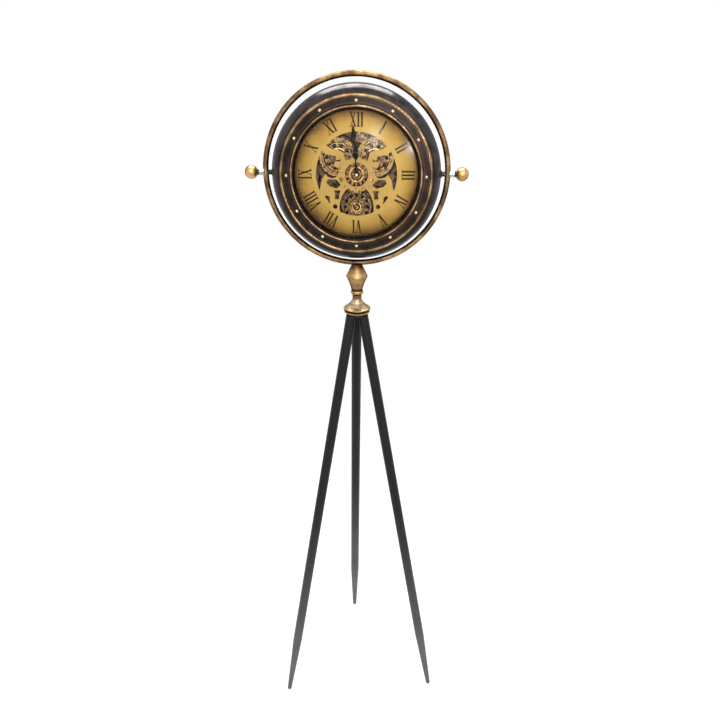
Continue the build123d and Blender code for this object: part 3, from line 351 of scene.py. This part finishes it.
def dial_gold():
    """Aged gold: paler in the middle, browner at the rim, with a painted highlight on the rounded
    cut edges and painted shade on the walls behind them.
    """
    f = Finish("dial_aged_gold", Metallic=0.7)
    out = f.radius(HEAD)
    cloud = f.noise(0.05, detail=4.0, rough=0.6)
    fine = f.noise(0.0009)
    soft = f.maths("ADD", out, f.range(cloud, 0.2, 0.8, -7 * MM, 7 * MM))
    colour = f.mix(f.range(soft, 20 * MM, 84 * MM), tone(171, 138, 74), tone(184, 150, 77))
    colour = f.mix(f.range(soft, 84 * MM, 108 * MM), colour, tone(166, 131, 54))
    colour = f.mix(f.range(soft, 100 * MM, 128 * MM), colour, tone(94, 62, 24))
    colour = f.mix(f.near(out, DIAL_RIM_LINE, 0.9 * MM), colour, tone(58, 38, 20))
    colour = f.mix(f.range(fine, 0.35, 0.75, 0.0, 0.25), colour, tone(120, 86, 40))
    depth = f.maths("SUBTRACT", f.split(f.place())[1], DIAL_FRONT)
    # painted highlight on the rounded front edges of the cuts
    colour = f.mix(f.range(depth, 0.02 * MM, 0.2 * MM), colour, tone(240, 210, 142))
    # painted shade on the walls of the cuts and on the back
    colour = f.mix(f.range(depth, 0.6 * MM, 0.75 * MM), colour, tone(92, 62, 30))
    return f.lay(colour, f.spread(fine, 0.36, 0.5), fine, 0.05 * MM, 0.3)


def wheel_centre(node):
    low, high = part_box(node)
    return (low + high) / 2


def away_from_bores(f, centre, count, circle):
    """Distance from the middle of the nearest hole, of those that a wheel has round a circle."""
    x, _, z = f.split(f.place(centre))
    turn = f.maths("MULTIPLY", f.maths("ARCTAN2", z, x), count / (2 * math.pi))
    step = f.maths("SUBTRACT", f.maths("FRACT", f.maths("ADD", turn, 0.5)), 0.5)
    across = f.maths("MULTIPLY", step, 2 * math.pi * circle * MM / count)
    out = f.maths("SUBTRACT", f.radius(centre), circle * MM)
    spot = f.node("ShaderNodeCombineXYZ", (across, out, 0.0)).outputs[0]
    return f.length(spot)


def wheel_metal(name, node, reach, bands, patch_tone, patches=0.56, plain=0.0, bores=None):
    """A wheel with engraved rings and bands of tone, fine mottling like filigree, and patches.
    Inside the plain radius it is only banded. Bores are the count of its holes, their circle and
    how far the painted shade round them reaches from their middles. Radii are in mm."""
    f = Finish(name, Metallic=0.85)
    centre = wheel_centre(node)
    out = f.radius(centre)
    cloud = f.noise(0.008, detail=4.0, rough=0.66)
    scroll = f.noise(0.0046, f.place((0.2, 0, 0.1)), detail=2.0, rough=0.5)
    rings = f.node("ShaderNodeCombineXYZ", (out, 0.0, 0.0)).outputs[0]
    turned = f.noise(0.0006, rings, detail=2.0)
    banded = f.zones(out, reach, bands)
    worked = f.range(out, plain * MM, (plain + 1) * MM)
    colour = banded
    for value, mark, full, share, shade in (
            (cloud, patches, patches + 0.08, 0.8, patch_tone),
            (scroll, 0.48, 0.40, 0.8, tone(40, 23, 10)),
            (scroll, 0.58, 0.68, 0.6, tone(200, 160, 96))):
        amount = f.maths("MULTIPLY", worked, f.range(value, mark, full, 0.0, share))
        colour = f.mix(amount, colour, shade)
    if bores:
        count, circle, hole_shade = bores
        away = away_from_bores(f, centre, count, circle)
        # painted shade round each hole, darkest nearest its middle
        colour = f.mix(f.range(away, hole_shade * MM, (hole_shade - 0.7) * MM), colour, tone(26, 20, 18))
    relief = f.maths("ADD", banded, f.range(scroll, 0.36, 0.44, 0.0, 0.6))
    return f.lay(colour, f.spread(turned, 0.26, 0.42), relief, 0.3 * MM, 0.6)


ENGRAVING_STEP = 5.5 * MM


def blued_plate():
    """Dark plate behind the wheels: brown and blue-grey patches, engraved with fine circles, blued
    round the side wheels' holes, and with painted shade where the wheels' rims and the bottom
    wheel's holes run."""
    f = Finish("backplate_blued_steel", Metallic=0.8)
    cloud = f.noise(0.012, detail=4.0, rough=0.65)
    stain = f.noise(0.014, f.place((0.3, 0, 0)), rough=0.6)
    colour = f.mix(f.range(cloud, 0.4, 0.56), tone(20, 15, 11), tone(134, 106, 74))
    colour = f.mix(f.range(stain, 0.55, 0.62, 0.0, 0.8), colour, tone(116, 118, 128))
    colour = f.mix(f.range(stain, 0.44, 0.36, 0.0, 0.8), colour, tone(156, 112, 70))
    left, right, below = (f.radius(wheel_centre(wheel))
                          for wheel in ("left_wheel", "right_wheel", "bottom_wheel"))
    blue = f.maths("MAXIMUM", *(f.near(out, 23 * MM, 5 * MM) for out in (left, right)))
    colour = f.mix(blue, colour, tone(84, 88, 106))
    # painted shade behind the wheels' rims and the bottom wheel's holes
    black = f.maths("MAXIMUM", *(f.near(out, 42 * MM, 5 * MM) for out in (left, right)))
    for mark, width in ((23.4, 4.5), (34.5, 3.5)):
        black = f.maths("MAXIMUM", black, f.near(below, mark * MM, width * MM))
    colour = f.mix(f.maths("MULTIPLY", black, 0.9), colour, tone(17, 13, 12))
    lines = 0.0
    for out in (f.radius(HEAD), left, right, below):
        wave = f.maths("SINE", f.maths("MULTIPLY", out, 2 * math.pi / ENGRAVING_STEP))
        lines = f.maths("MAXIMUM", lines, f.range(wave, 0.86, 1.0))
    colour = f.mix(f.maths("MULTIPLY", lines, 0.6), colour, tone(44, 27, 17))
    return f.lay(colour, f.spread(cloud, 0.3, 0.5), lines, 0.3 * MM, 0.5)


def clear_glass():
    """Clear glass that lets the lamps through to the dial, with a soft gloss on its face."""
    f = Finish("glass_clear", Transmission_Weight=1.0, IOR=1.02, Roughness=0.0,
               Base_Color=(0.985, 0.99, 0.985, 1.0), Coat_Weight=0.2, Coat_Roughness=0.12)
    f.lay(None, None, f.noise(0.09, detail=0.0), 0.2 * MM, 0.05)
    path = f.node("ShaderNodeLightPath")
    clear = f.node("ShaderNodeBsdfTransparent")
    join = f.node("ShaderNodeMixShader")
    f.feed(join.inputs[0], f.maths("SUBTRACT", 1.0, path.outputs["Is Camera Ray"]))
    f.feed(join.inputs[1], f.shader.outputs[0])
    f.feed(join.inputs[2], clear.outputs[0])
    f.feed(f.tree.nodes["Material Output"].inputs[0], join.outputs[0])
    return f.material


# Tones of the wheels, by radius in mm. LINE is the tone of an engraved ring, and of painted shade.
SLATE = tone(98, 98, 106)
LINE = tone(36, 20, 9)
# The side wheels' middle, to 7.2 mm, is LINE's tone as painted shade seen through the arm's ring
# cut.
SIDE_WHEEL_BANDS = ((0, LINE), (7.2, LINE), (7.8, tone(128, 92, 58)), (14.4, tone(132, 98, 62)),
                    (15.2, tone(66, 44, 29)), (16.8, tone(68, 46, 32)), (17.8, tone(134, 102, 66)),
                    (25.6, tone(142, 110, 68)), (26.5, tone(190, 150, 84)),
                    (27.6, tone(180, 138, 82)), (28.2, LINE), (30, LINE),
                    (30.8, tone(184, 146, 92)), (32, tone(138, 104, 62)),
                    (34.6, tone(124, 94, 56)), (35.8, tone(202, 162, 92)),
                    (39, tone(206, 166, 96)))
# The centre wheel's pale band from 13.3 to 15 mm is a painted highlight.
CENTRE_WHEEL_BANDS = ((0, tone(150, 112, 62)), (8.6, tone(160, 120, 68)), (9.2, LINE),
                      (10.4, LINE), (11.2, tone(128, 92, 54)), (12.7, tone(118, 84, 50)),
                      (13.3, tone(206, 166, 102)), (15, tone(214, 174, 110)), (15.5, LINE),
                      (16.2, tone(96, 64, 36)),
                      (17.4, tone(150, 108, 62)), (22, tone(164, 122, 72)), (22.7, LINE),
                      (24, LINE), (24.8, tone(188, 150, 90)), (36, tone(184, 146, 84)))
BOTTOM_WHEEL_BANDS = ((0, tone(74, 52, 38)), (15.4, tone(44, 28, 20)),
                      (16.8, tone(118, 90, 54)), (20, tone(112, 86, 56)),
                      (25.4, tone(128, 98, 58)), (26.2, LINE), (27.6, LINE),
                      (28.3, tone(188, 148, 92)), (29.2, tone(150, 116, 76)),
                      (34, tone(188, 150, 96)))
# The bottom hub's pale rings, from 7.7 to 9.2 mm and from 12.3 mm out, are painted highlights.
BOTTOM_HUB_BANDS = ((0, tone(150, 112, 72)), (4, tone(158, 120, 78)), (4.8, LINE), (7.2, LINE),
                    (7.7, tone(206, 164, 102)), (9.2, tone(230, 194, 130)),
                    (9.9, tone(116, 80, 48)), (11.5, tone(88, 56, 32)),
                    (12.3, tone(206, 166, 106)), (16, tone(224, 184, 118)))
DRIVE_PINION_BANDS = ((0, LINE), (2.6, LINE), (3.2, tone(150, 116, 72)), (4.4, tone(128, 96, 60)),
                      (5, tone(92, 84, 82)), (7.2, tone(74, 64, 60)), (7.8, LINE),
                      (8.8, tone(150, 114, 70)), (10, tone(124, 92, 58)),
                      (10.8, tone(176, 138, 86)), (13, tone(190, 150, 96)))
WHEEL_REACH, HUB_REACH, PINION_REACH = 40, 20, 14  # radii in mm that take in every band


def side_wheel_metal(side):
    return wheel_metal(f"side_wheel_{side}_bronze", f"{side}_wheel", WHEEL_REACH,
                       SIDE_WHEEL_BANDS, SLATE, patches=0.53, plain=7.4, bores=(10, 23, 4.2))


finish_of_slot = {
    "leg_black": painted_wood(),
    "hub_black": black_enamel("hub_satin_black", tone(20, 19, 18), tone(36, 34, 33), 0.34),
    "antique_brass": neck_brass(),
    "chrome_sleeve": metal("sleeve_chrome", tone(132, 138, 146), tone(196, 202, 206), 0.1,
                           cloud_size=0.004),
    "dark_steel": metal("pin_dark_steel", tone(26, 26, 29), tone(66, 67, 74), 0.24),
    "plain_steel": metal("steel_plain", tone(150, 150, 152), tone(190, 190, 192), 0.28),
    "knob_brass": turned_brass("knob_antique_brass", 0, tone(214, 180, 122),
                               tone(182, 146, 92), tone(128, 96, 60), ridge=5 * MM),
    "bezel_bronze": bezel_bronze(),
    "drum_bronze": sheet_bronze(),
    "rivet_brass": metal("rivet_pale_brass", tone(186, 150, 104), tone(232, 206, 160), 0.24,
                         cloud_size=0.004),
    "clear_glass": clear_glass(),
    "inner_ring_black": black_enamel("spacer_black", tone(16, 14, 13), tone(30, 26, 23), 0.5),
    "dial_gold": dial_gold(),
    "backplate_blued": blued_plate(),
    "wheel_bronze": side_wheel_metal("left"),
    "wheel_gunmetal": metal("pinion_gunmetal", tone(84, 66, 50), tone(176, 142, 100), 0.3,
                            cloud_size=0.004),
    "wheel_gold": wheel_metal("centre_wheel_gold", "centre_wheel", WHEEL_REACH,
                              CENTRE_WHEEL_BANDS, tone(112, 76, 44), patches=0.6,
                              bores=(14, 20.2, 3.1)),
    "movement_black": black_enamel("movement_black", tone(18, 18, 19), tone(30, 30, 32), 0.45),
    "hand_black": black_enamel("hand_black", tone(5, 4, 4), tone(16, 13, 12), 0.42, shine=0.12),
    "cap_gold": metal("cap_pale_gold", tone(214, 186, 132), tone(240, 220, 172), 0.2,
                      cloud_size=0.002),
    "cell_shell": metal("cell_sleeve", tone(46, 46, 50), tone(70, 70, 74), 0.35),
}
for piece in nodes.values():
    for place in piece.material_slots:
        place.material = finish_of_slot[place.material.name]

# These nodes share a slot with others, and have a finish of their own.
own_finish = {
    "ring_frame": ring_brass(),
    "hub_disc": turned_brass("hub_disc_antique_brass", 2, tone(196, 158, 110), tone(160, 124, 84),
                             tone(96, 68, 46), ridge=1.8 * MM, shaded_hollow=(27.4, 26.4)),
    "gear_arbors": metal("arbor_brown_brass", tone(112, 80, 48), tone(168, 128, 78), 0.3,
                         cloud_size=0.003),
    "right_wheel": side_wheel_metal("right"),
    "bottom_wheel": wheel_metal("bottom_wheel_gunmetal", "bottom_wheel", WHEEL_REACH,
                                BOTTOM_WHEEL_BANDS, SLATE, bores=(12, 23.4, 3.9)),
    "drive_pinion": wheel_metal("drive_pinion_bronze", "drive_pinion", PINION_REACH,
                                DRIVE_PINION_BANDS, SLATE, patches=0.6),
    "centre_rear_wheel": metal("rear_wheel_blackened", tone(24, 18, 14), tone(60, 44, 30), 0.34,
                               cloud_size=0.004),
    "bottom_hub": wheel_metal("bottom_hub_gold", "bottom_hub", HUB_REACH, BOTTOM_HUB_BANDS,
                              tone(140, 100, 60), patches=0.66),
}
for name, finish in own_finish.items():
    nodes[name].material_slots[0].material = finish


SAME_PLACE = 0.001 * MM  # corners this close are one corner
SAME_PLANE = math.radians(0.5)
SHADED_SHARP = math.radians(30)
SQUARE_ON = 0.999  # how nearly a face's normal runs along the dial's axis, to count as flat


def finished(name, shape, finish, body):
    """Turns a bmesh into a piece that rides a body, with soft shading over its slight bends."""
    mesh = bpy.data.meshes.new(name)
    shape.to_mesh(mesh)
    shape.free()
    mesh.materials.append(finish)
    mesh.shade_smooth()
    mesh.set_sharp_from_angle(angle=SHADED_SHARP)
    for face in mesh.polygons:  # the plain front and back stay flat beside their rounded edges
        if abs(face.normal.y) > SQUARE_ON:
            face.use_smooth = False
    piece = bpy.data.objects.new(name, mesh)
    bpy.context.scene.collection.objects.link(piece)
    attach(piece, body)
    return piece


def merged(mesh):
    """A mesh with its loose or needless triangles joined, as a bmesh that may be shaped."""
    shape = bmesh.new()
    shape.from_mesh(mesh)
    bmesh.ops.remove_doubles(shape, verts=shape.verts, dist=SAME_PLACE)
    bmesh.ops.dissolve_limit(shape, angle_limit=SAME_PLANE, verts=shape.verts,
                             edges=shape.edges, delimit=set())
    return shape


def soften(shape, edges, width, segments=2):
    """Rounds edges over with a small bevel."""
    bmesh.ops.bevel(shape, geom=edges, offset=width, offset_type="OFFSET", affect="EDGES",
                    segments=segments, profile=0.5, clamp_overlap=True, material=-1)


ON_FRONT = 0.01 * MM  # how far from a plate's front its own edges may lie
CRISP = math.radians(35)


def crisp_front(shape, front):
    """The sharp edges that lie on the front face of a plate."""
    return [edge for edge in shape.edges if len(edge.link_faces) == 2
            and all(abs(corner.co.y - front) < ON_FRONT for corner in edge.verts)
            and edge.calc_face_angle(0.0) > CRISP]


ARC_STEPS = 20
TO_DIAL = Matrix.Rotation(math.radians(90), 4, "X")  # turns a level shape to lie in the dial


def arc_bar(middle, radius, width, thickness, front, start, end):
    """A flat bar bent round a point of the head, between two angles counted from 3 o'clock."""
    bar = bmesh.new()
    bmesh.ops.create_grid(bar, x_segments=1, y_segments=1, size=0.5)
    bmesh.ops.scale(bar, vec=(width, thickness, 1), verts=bar.verts)
    bmesh.ops.translate(bar, vec=(middle.x + radius, front + thickness / 2, middle.z),
                        verts=bar.verts)
    bmesh.ops.rotate(bar, cent=middle, matrix=Matrix.Rotation(-math.radians(start), 3, "Y"),
                     verts=bar.verts)
    bmesh.ops.spin(bar, geom=bar.faces[:] + bar.edges[:] + bar.verts[:], cent=middle,
                   axis=(0, 1, 0), angle=-math.radians(end - start), steps=ARC_STEPS)
    bmesh.ops.holes_fill(bar, edges=[edge for edge in bar.edges if edge.is_boundary], sides=4)
    bmesh.ops.recalc_face_normals(bar, faces=bar.faces)
    return bar


def carved(shape, joined, cut):
    """Joins shapes to a solid, then cuts others out of it, and returns what is left."""
    made = []
    for part in (shape, *joined, *cut):
        mesh = bpy.data.meshes.new("carving")
        part.to_mesh(mesh)
        part.free()
        made.append(bpy.data.objects.new("carving", mesh))
        bpy.context.scene.collection.objects.link(made[-1])
    for place, tool in enumerate(made[1:]):
        step = made[0].modifiers.new("step", "BOOLEAN")
        step.operation = "UNION" if place < len(joined) else "DIFFERENCE"
        step.solver, step.object = "EXACT", tool
    left = made[0].evaluated_get(bpy.context.evaluated_depsgraph_get())
    shape = merged(left.to_mesh())
    left.to_mesh_clear()
    for part in made:
        bpy.data.objects.remove(part)
    return shape


OVAL_SIDES = 40


def oval_plate(middle, half_width, half_height, front, thickness):
    """A flat oval that lies in the dial, from its front to its back."""
    oval = bmesh.new()
    bmesh.ops.create_circle(oval, cap_ends=True, segments=OVAL_SIDES, radius=1.0, matrix=TO_DIAL)
    bmesh.ops.scale(oval, vec=(half_width, 1, half_height), verts=oval.verts)
    bmesh.ops.translate(oval, vec=(middle.x, front, middle.z), verts=oval.verts)
    grown = bmesh.ops.extrude_face_region(oval, geom=oval.faces[:])["geom"]
    bmesh.ops.translate(oval, vec=(0, thickness, 0),
                        verts=[item for item in grown if isinstance(item, bmesh.types.BMVert)])
    bmesh.ops.recalc_face_normals(oval, faces=oval.faces)
    return oval


STUD_SIDES, STUD_RINGS = 32, 16


def domed_stud(middle, radius, front, height):
    """A low domed stud: half a ball pressed flat, standing on a plate's front."""
    stud = bmesh.new()
    bmesh.ops.create_uvsphere(stud, u_segments=STUD_SIDES, v_segments=STUD_RINGS, radius=radius,
                              matrix=TO_DIAL)
    bmesh.ops.scale(stud, vec=(1, height / radius, 1), verts=stud.verts)
    bmesh.ops.bisect_plane(stud, geom=stud.faces[:] + stud.edges[:] + stud.verts[:],
                           plane_co=(0, 0, 0), plane_no=(0, 1, 0), clear_outer=True)
    bmesh.ops.holes_fill(stud, edges=[edge for edge in stud.edges if edge.is_boundary], sides=0)
    bmesh.ops.translate(stud, vec=(middle.x, front, middle.z), verts=stud.verts)
    bmesh.ops.recalc_face_normals(stud, faces=stud.faces)
    return stud


# The arm over each side wheel ends in a round boss with a ring cut round it, and has a curved
# slot under a raised rim, pale as a painted highlight. Sizes are in mm and places count from the
# wheel's middle, for the left wheel: an oval's place, half width and half height, and a slot's
# radius, width and angles.
PLATE_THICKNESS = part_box("dial_plate")[1].y - DIAL_FRONT
PLATE_EDGE = 0.7 * MM
CUT_PAST = 1 * MM  # how far a cut reaches past either face of the plate
ARM_OVALS = ((0, 0, 4.6, 4.6), (-0.6, -12.4, 6.9, 6.4))
ARM_SLOTS = ((15.6, 2.4, 38, 88), (5.7, 2.2, -200, -25))
RIM_RADIUS, RIM_WIDTH, RIM_RELIEF, RIM_EDGE = 18.6 * MM, 1.5 * MM, 0.8 * MM, 0.3 * MM
RIM_ANGLES = (46, 112)
STUD_RADIUS, STUD_RELIEF = 2.5 * MM, 1.4 * MM


def on_side(hand, start, end):
    """Angles of the left side's arm, or the same ones mirrored for the right side."""
    return (start, end) if hand > 0 else (180 - end, 180 - start)


sides = (("left", 1, wheel_centre("left_wheel")), ("right", -1, wheel_centre("right_wheel")))
ovals, slots = [], []
for side, hand, middle in sides:
    for across, up, half_width, half_height in ARM_OVALS:
        spot = middle + Vector((hand * across * MM, 0, up * MM))
        ovals.append(oval_plate(spot, half_width * MM, half_height * MM, DIAL_FRONT,
                                PLATE_THICKNESS))
    for radius, width, start, end in ARM_SLOTS:
        slots.append(arc_bar(middle, radius * MM, width * MM, PLATE_THICKNESS + 2 * CUT_PAST,
                             DIAL_FRONT - CUT_PAST, *on_side(hand, start, end)))
plate = carved(merged(nodes["dial_plate"].data), ovals, slots)
soften(plate, crisp_front(plate, DIAL_FRONT), PLATE_EDGE)
dial_face = finished("dial_face", plate, finish_of_slot["dial_gold"], "head")
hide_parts("dial_plate")

# the rims' near-white gold is a painted highlight
rim_painted_highlight = metal("rim_gold_painted_highlight", tone(222, 188, 126), tone(252, 232, 188), 0.22,
                 cloud_size=0.004)
stud_brass = metal("stud_brass", tone(168, 132, 84), tone(206, 172, 118), 0.34, cloud_size=0.002)
for side, hand, middle in sides:
    rim = arc_bar(middle, RIM_RADIUS, RIM_WIDTH, RIM_RELIEF, DIAL_FRONT - RIM_RELIEF,
                  *on_side(hand, *RIM_ANGLES))
    soften(rim, list(rim.edges), RIM_EDGE)
    stud = domed_stud(middle, STUD_RADIUS, DIAL_FRONT, STUD_RELIEF)
    for name, shape, finish in ((f"arm_rim_{side}", rim, rim_painted_highlight),
                                (f"arm_stud_{side}", stud, stud_brass)):
        finished(name, shape, finish, "head")

# The pane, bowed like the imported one, with an even curve from its middle to its edge.
PANE_THICKNESS = 2.5 * MM
PANE_GAP = 0.02 * MM
PANE_SEAM = 0.01 * MM
PANE_RINGS, PANE_SIDES = 24, 96
pane_low, pane_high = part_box("glass")
pane_radius = (pane_high.x - pane_low.x) / 2 - PANE_GAP
crown = pane_high.y - pane_low.y - PANE_THICKNESS
bow = (pane_radius ** 2 + crown ** 2) / (2 * crown)  # the radius of the curve
pane = bmesh.new()
pole = bmesh.ops.create_vert(pane, co=(HEAD.x, pane_low.y, HEAD.z))["vert"][0]
bmesh.ops.spin(pane, geom=[pole], cent=(HEAD.x, pane_low.y + bow, HEAD.z), axis=(1, 0, 0),
               angle=math.asin(pane_radius / bow), steps=PANE_RINGS)
bmesh.ops.spin(pane, geom=pane.edges[:] + pane.verts[:], cent=HEAD, axis=(0, 1, 0),
               angle=2 * math.pi, steps=PANE_SIDES, use_merge=True)
bmesh.ops.remove_doubles(pane, verts=pane.verts, dist=PANE_SEAM)
bmesh.ops.recalc_face_normals(pane, faces=pane.faces)
if sum(face.normal.y for face in pane.faces) > 0:
    bmesh.ops.reverse_faces(pane, faces=pane.faces)
bmesh.ops.solidify(pane, geom=pane.faces[:], thickness=PANE_THICKNESS)
front_pane = finished("front_pane", pane, finish_of_slot["clear_glass"], "head")
for face in front_pane.data.polygons:
    face.use_smooth = True
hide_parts("glass")

# Roman numerals with their feet towards the dial's middle, from which their heights count: thick
# and thin strokes, with a serif bar at their ends.
NUMERAL_FOOT = 91.8 * MM
NUMERAL_HEAD = 118.8 * MM
NUMERAL_RELIEF = 0.5 * MM
THICK, THIN = 3.2 * MM, 1.4 * MM
STROKE_EDGE = 0.12 * MM
SERIF = 1.2 * MM
SERIF_OF_I, SERIF_OF_LEANING = 6.2 * MM, 5.8 * MM
LETTER_WIDTH = {"I": 7.0 * MM, "V": 13.2 * MM, "X": 14.4 * MM}
LEAN = 0.62  # how far a leaning stroke ends from the letter's middle, as a share of half of it
numeral_ink = black_enamel("numeral_brown_ink", tone(30, 17, 7), tone(58, 36, 17), 0.45, 0.15)


def stroke(letter, foot, head, width, low=NUMERAL_FOOT, high=NUMERAL_HEAD):
    """A straight or leaning stroke between two heights, raised a little off the dial."""
    lean = Matrix(((width, 0, head - foot, (foot + head) / 2),
                   (0, NUMERAL_RELIEF, 0, 0),
                   (0, 0, high - low, (low + high) / 2),
                   (0, 0, 0, 1)))
    bar = bmesh.ops.create_cube(letter, size=1.0, matrix=lean)
    edges = {edge for corner in bar["verts"] for edge in corner.link_edges}
    soften(letter, list(edges), STROKE_EDGE, 1)


def serifs(letter, middle, width, lows=(NUMERAL_FOOT, NUMERAL_HEAD - SERIF)):
    """A bar at the foot and at the head of a stroke, or only at the heights given."""
    for low in lows:
        stroke(letter, middle, middle, width, low, low + SERIF)


def draw_letter(shape, letter, middle):
    left, right = (middle + side * LEAN * LETTER_WIDTH[letter] / 2 for side in (-1, 1))
    if letter == "I":
        stroke(shape, middle, middle, THICK)
        serifs(shape, middle, SERIF_OF_I)
    elif letter == "V":
        stroke(shape, middle, left, THICK)
        stroke(shape, middle, right, THIN)
        for head in (left, right):
            serifs(shape, head, SERIF_OF_LEANING, [NUMERAL_HEAD - SERIF])
    else:
        stroke(shape, right, left, THICK)
        stroke(shape, left, right, THIN)
        for end in (left, right):
            serifs(shape, end, SERIF_OF_LEANING)


for hour, letters in enumerate("XII I II III IV V VI VII VIII IX X XI".split()):
    shape = bmesh.new()
    across = -sum(LETTER_WIDTH[letter] for letter in letters) / 2
    for letter in letters:
        draw_letter(shape, letter, across + LETTER_WIDTH[letter] / 2)
        across += LETTER_WIDTH[letter]
    turned = Matrix.Rotation(2 * math.pi * hour / 12, 4, "Y")
    spot = Matrix.Translation((HEAD.x, DIAL_FRONT - NUMERAL_RELIEF / 2, HEAD.z))
    bmesh.ops.transform(shape, matrix=spot @ turned, verts=shape.verts)
    numeral = finished(f"numeral_{letters}", shape, numeral_ink, "head")

# The studio: a pale floor, soft lamps overhead and in front, and white all round. What the eye
# sees is white, or the floor with the object's shadow; what lights the object is dimmer.
SEEN_WHITE = 1.0
AMBIENT = 0.3
FLOOR_RADIUS, FLOOR_SIDES = 9.0, 64
FLOOR_PAINT = 0.8  # the share of light that the floor throws back on the object
SHADOW_PAINT, FLOOR_GLOW = 0.4, 0.76  # the seen floor: paint that takes the shadow, and its glow
SHADOW_REACH, WHITE_FROM = 0.7, 2.0  # distances from the middle between which it turns white
WHITE = (1, 1, 1, 1)


def grey(share):
    return (share, share, share, 1)


def seen_directly(tree):
    """1 for what the camera, a polished surface or clear glass sees, and 0 for what lights the
    object."""
    path = tree.nodes.new("ShaderNodeLightPath")
    total = path.outputs["Is Camera Ray"]
    for other in ("Is Glossy Ray", "Is Transmission Ray"):
        step = tree.nodes.new("ShaderNodeMath")
        step.operation = "MAXIMUM"
        tree.links.new(total, step.inputs[0])
        tree.links.new(path.outputs[other], step.inputs[1])
        total = step.outputs[0]
    return total


def light_room():
    world = bpy.data.worlds.new("studio")
    bpy.context.scene.world = world
    world.use_nodes = True
    tree = world.node_tree
    tree.nodes.clear()
    room = tree.nodes.new("ShaderNodeBackground")
    white = tree.nodes.new("ShaderNodeBackground")
    join = tree.nodes.new("ShaderNodeMixShader")
    out = tree.nodes.new("ShaderNodeOutputWorld")
    for shade, strength in ((room, AMBIENT), (white, SEEN_WHITE)):
        shade.inputs["Color"].default_value = WHITE
        shade.inputs["Strength"].default_value = strength
    tree.links.new(seen_directly(tree), join.inputs[0])
    tree.links.new(room.outputs[0], join.inputs[1])
    tree.links.new(white.outputs[0], join.inputs[2])
    tree.links.new(join.outputs[0], out.inputs[0])


def lay_floor():
    """A pale floor that takes the object's shadow close by, and is plain white further off."""
    f = Finish("floor_pale")
    f.tree.nodes.remove(f.shader)
    plain = f.node("ShaderNodeBsdfDiffuse", (grey(FLOOR_PAINT),)).outputs[0]
    thin = f.node("ShaderNodeBsdfDiffuse", (grey(SHADOW_PAINT),)).outputs[0]
    glow = f.node("ShaderNodeEmission", (WHITE, FLOOR_GLOW)).outputs[0]
    near_by = f.node("ShaderNodeAddShader", (thin, glow)).outputs[0]
    white = f.node("ShaderNodeEmission", (WHITE, SEEN_WHITE)).outputs[0]
    far = f.range(f.radius((0, 0, 0), 2), SHADOW_REACH, WHITE_FROM)
    seen = f.node("ShaderNodeMixShader", (far, near_by, white)).outputs[0]
    both = f.node("ShaderNodeMixShader", (seen_directly(f.tree), plain, seen)).outputs[0]
    f.feed(f.tree.nodes["Material Output"].inputs[0], both)
    ground = bmesh.new()
    bmesh.ops.create_circle(ground, cap_ends=True, segments=FLOOR_SIDES, radius=FLOOR_RADIUS)
    bmesh.ops.translate(ground, vec=(0, 0, cad_low.z), verts=ground.verts)
    bmesh.ops.recalc_face_normals(ground, faces=ground.faces)
    mesh = bpy.data.meshes.new("floor")
    ground.to_mesh(mesh)
    ground.free()
    mesh.materials.append(f.material)
    floor = bpy.data.objects.new("floor", mesh)
    bpy.context.scene.collection.objects.link(floor)


# The lamps: name, place, the point that it faces, width, height, power in watts, roll in
# degrees. The two cards are there for their reflections in the glass.
LAMPS = (
    ("overhead_softbox", (-0.05, 0.4, 3.05), (-0.02, -0.05, 1.4), 1.8, 1.2, 78, 0),
    ("front_wall", (0.2, -2.7, 2.9), (0, -0.05, 1.3), 5.0, 2.5, 50, 0),
    ("key_softbox", (0.3, -2.5, 2.8), (0, -0.05, 1.15), 1.5, 1.0, 13, 0),
    ("window_card", (0.15, -2.62, 1.37), (0.04, -0.08, 1.45), 0.13, 0.25, 4.2, -20),
    ("spot_card", (0.632, -2.6, 1.235), (0.11, -0.08, 1.4), 0.07, 0.07, 5.0, 0),
)


def soft_lamp(name, spot, aim, width, height, power, roll):
    """An oblong lamp that faces a point."""
    lamp = bpy.data.lights.new(name, "AREA")
    lamp.shape = "RECTANGLE"
    lamp.size, lamp.size_y, lamp.energy = width, height, power
    made = bpy.data.objects.new(name, lamp)
    made.location = spot
    facing = (Vector(aim) - Vector(spot)).to_track_quat("-Z", "Y").to_matrix()
    made.rotation_euler = (facing @ Matrix.Rotation(math.radians(roll), 3, "Z")).to_euler()
    bpy.context.scene.collection.objects.link(made)


light_room()
lay_floor()
for lamp in LAMPS:
    soft_lamp(*lamp)

# The camera, fitted to the photograph: its image is taken as 720 dots wide and high, and the
# angles are in radians.
IMAGE_DOTS = 720
FOCAL_DOTS = 756.32
SIGHT_CENTRE_DOTS = (376.03, 425.0)
CAMERA_SPOT = (0.04582, -1.65982, 1.65078)
CAMERA_PITCH, CAMERA_ROLL = 0.5013, 0.0122
SENSOR_WIDTH = 36  # mm, as on a full-frame camera

lens = bpy.data.cameras.new("camera")
lens.sensor_width = SENSOR_WIDTH
lens.lens = FOCAL_DOTS / IMAGE_DOTS * lens.sensor_width
lens.shift_x = (IMAGE_DOTS / 2 - SIGHT_CENTRE_DOTS[0]) / IMAGE_DOTS
lens.shift_y = (SIGHT_CENTRE_DOTS[1] - IMAGE_DOTS / 2) / IMAGE_DOTS
camera = bpy.data.objects.new("camera", lens)
camera.matrix_world = (Matrix.Translation(CAMERA_SPOT)
                       @ Matrix.Rotation(math.pi / 2 - CAMERA_PITCH, 4, "X")
                       @ Matrix.Rotation(CAMERA_ROLL, 4, "Z"))
bpy.context.scene.collection.objects.link(camera)
bpy.context.scene.camera = camera
bpy.context.scene.view_settings.view_transform = "Standard"
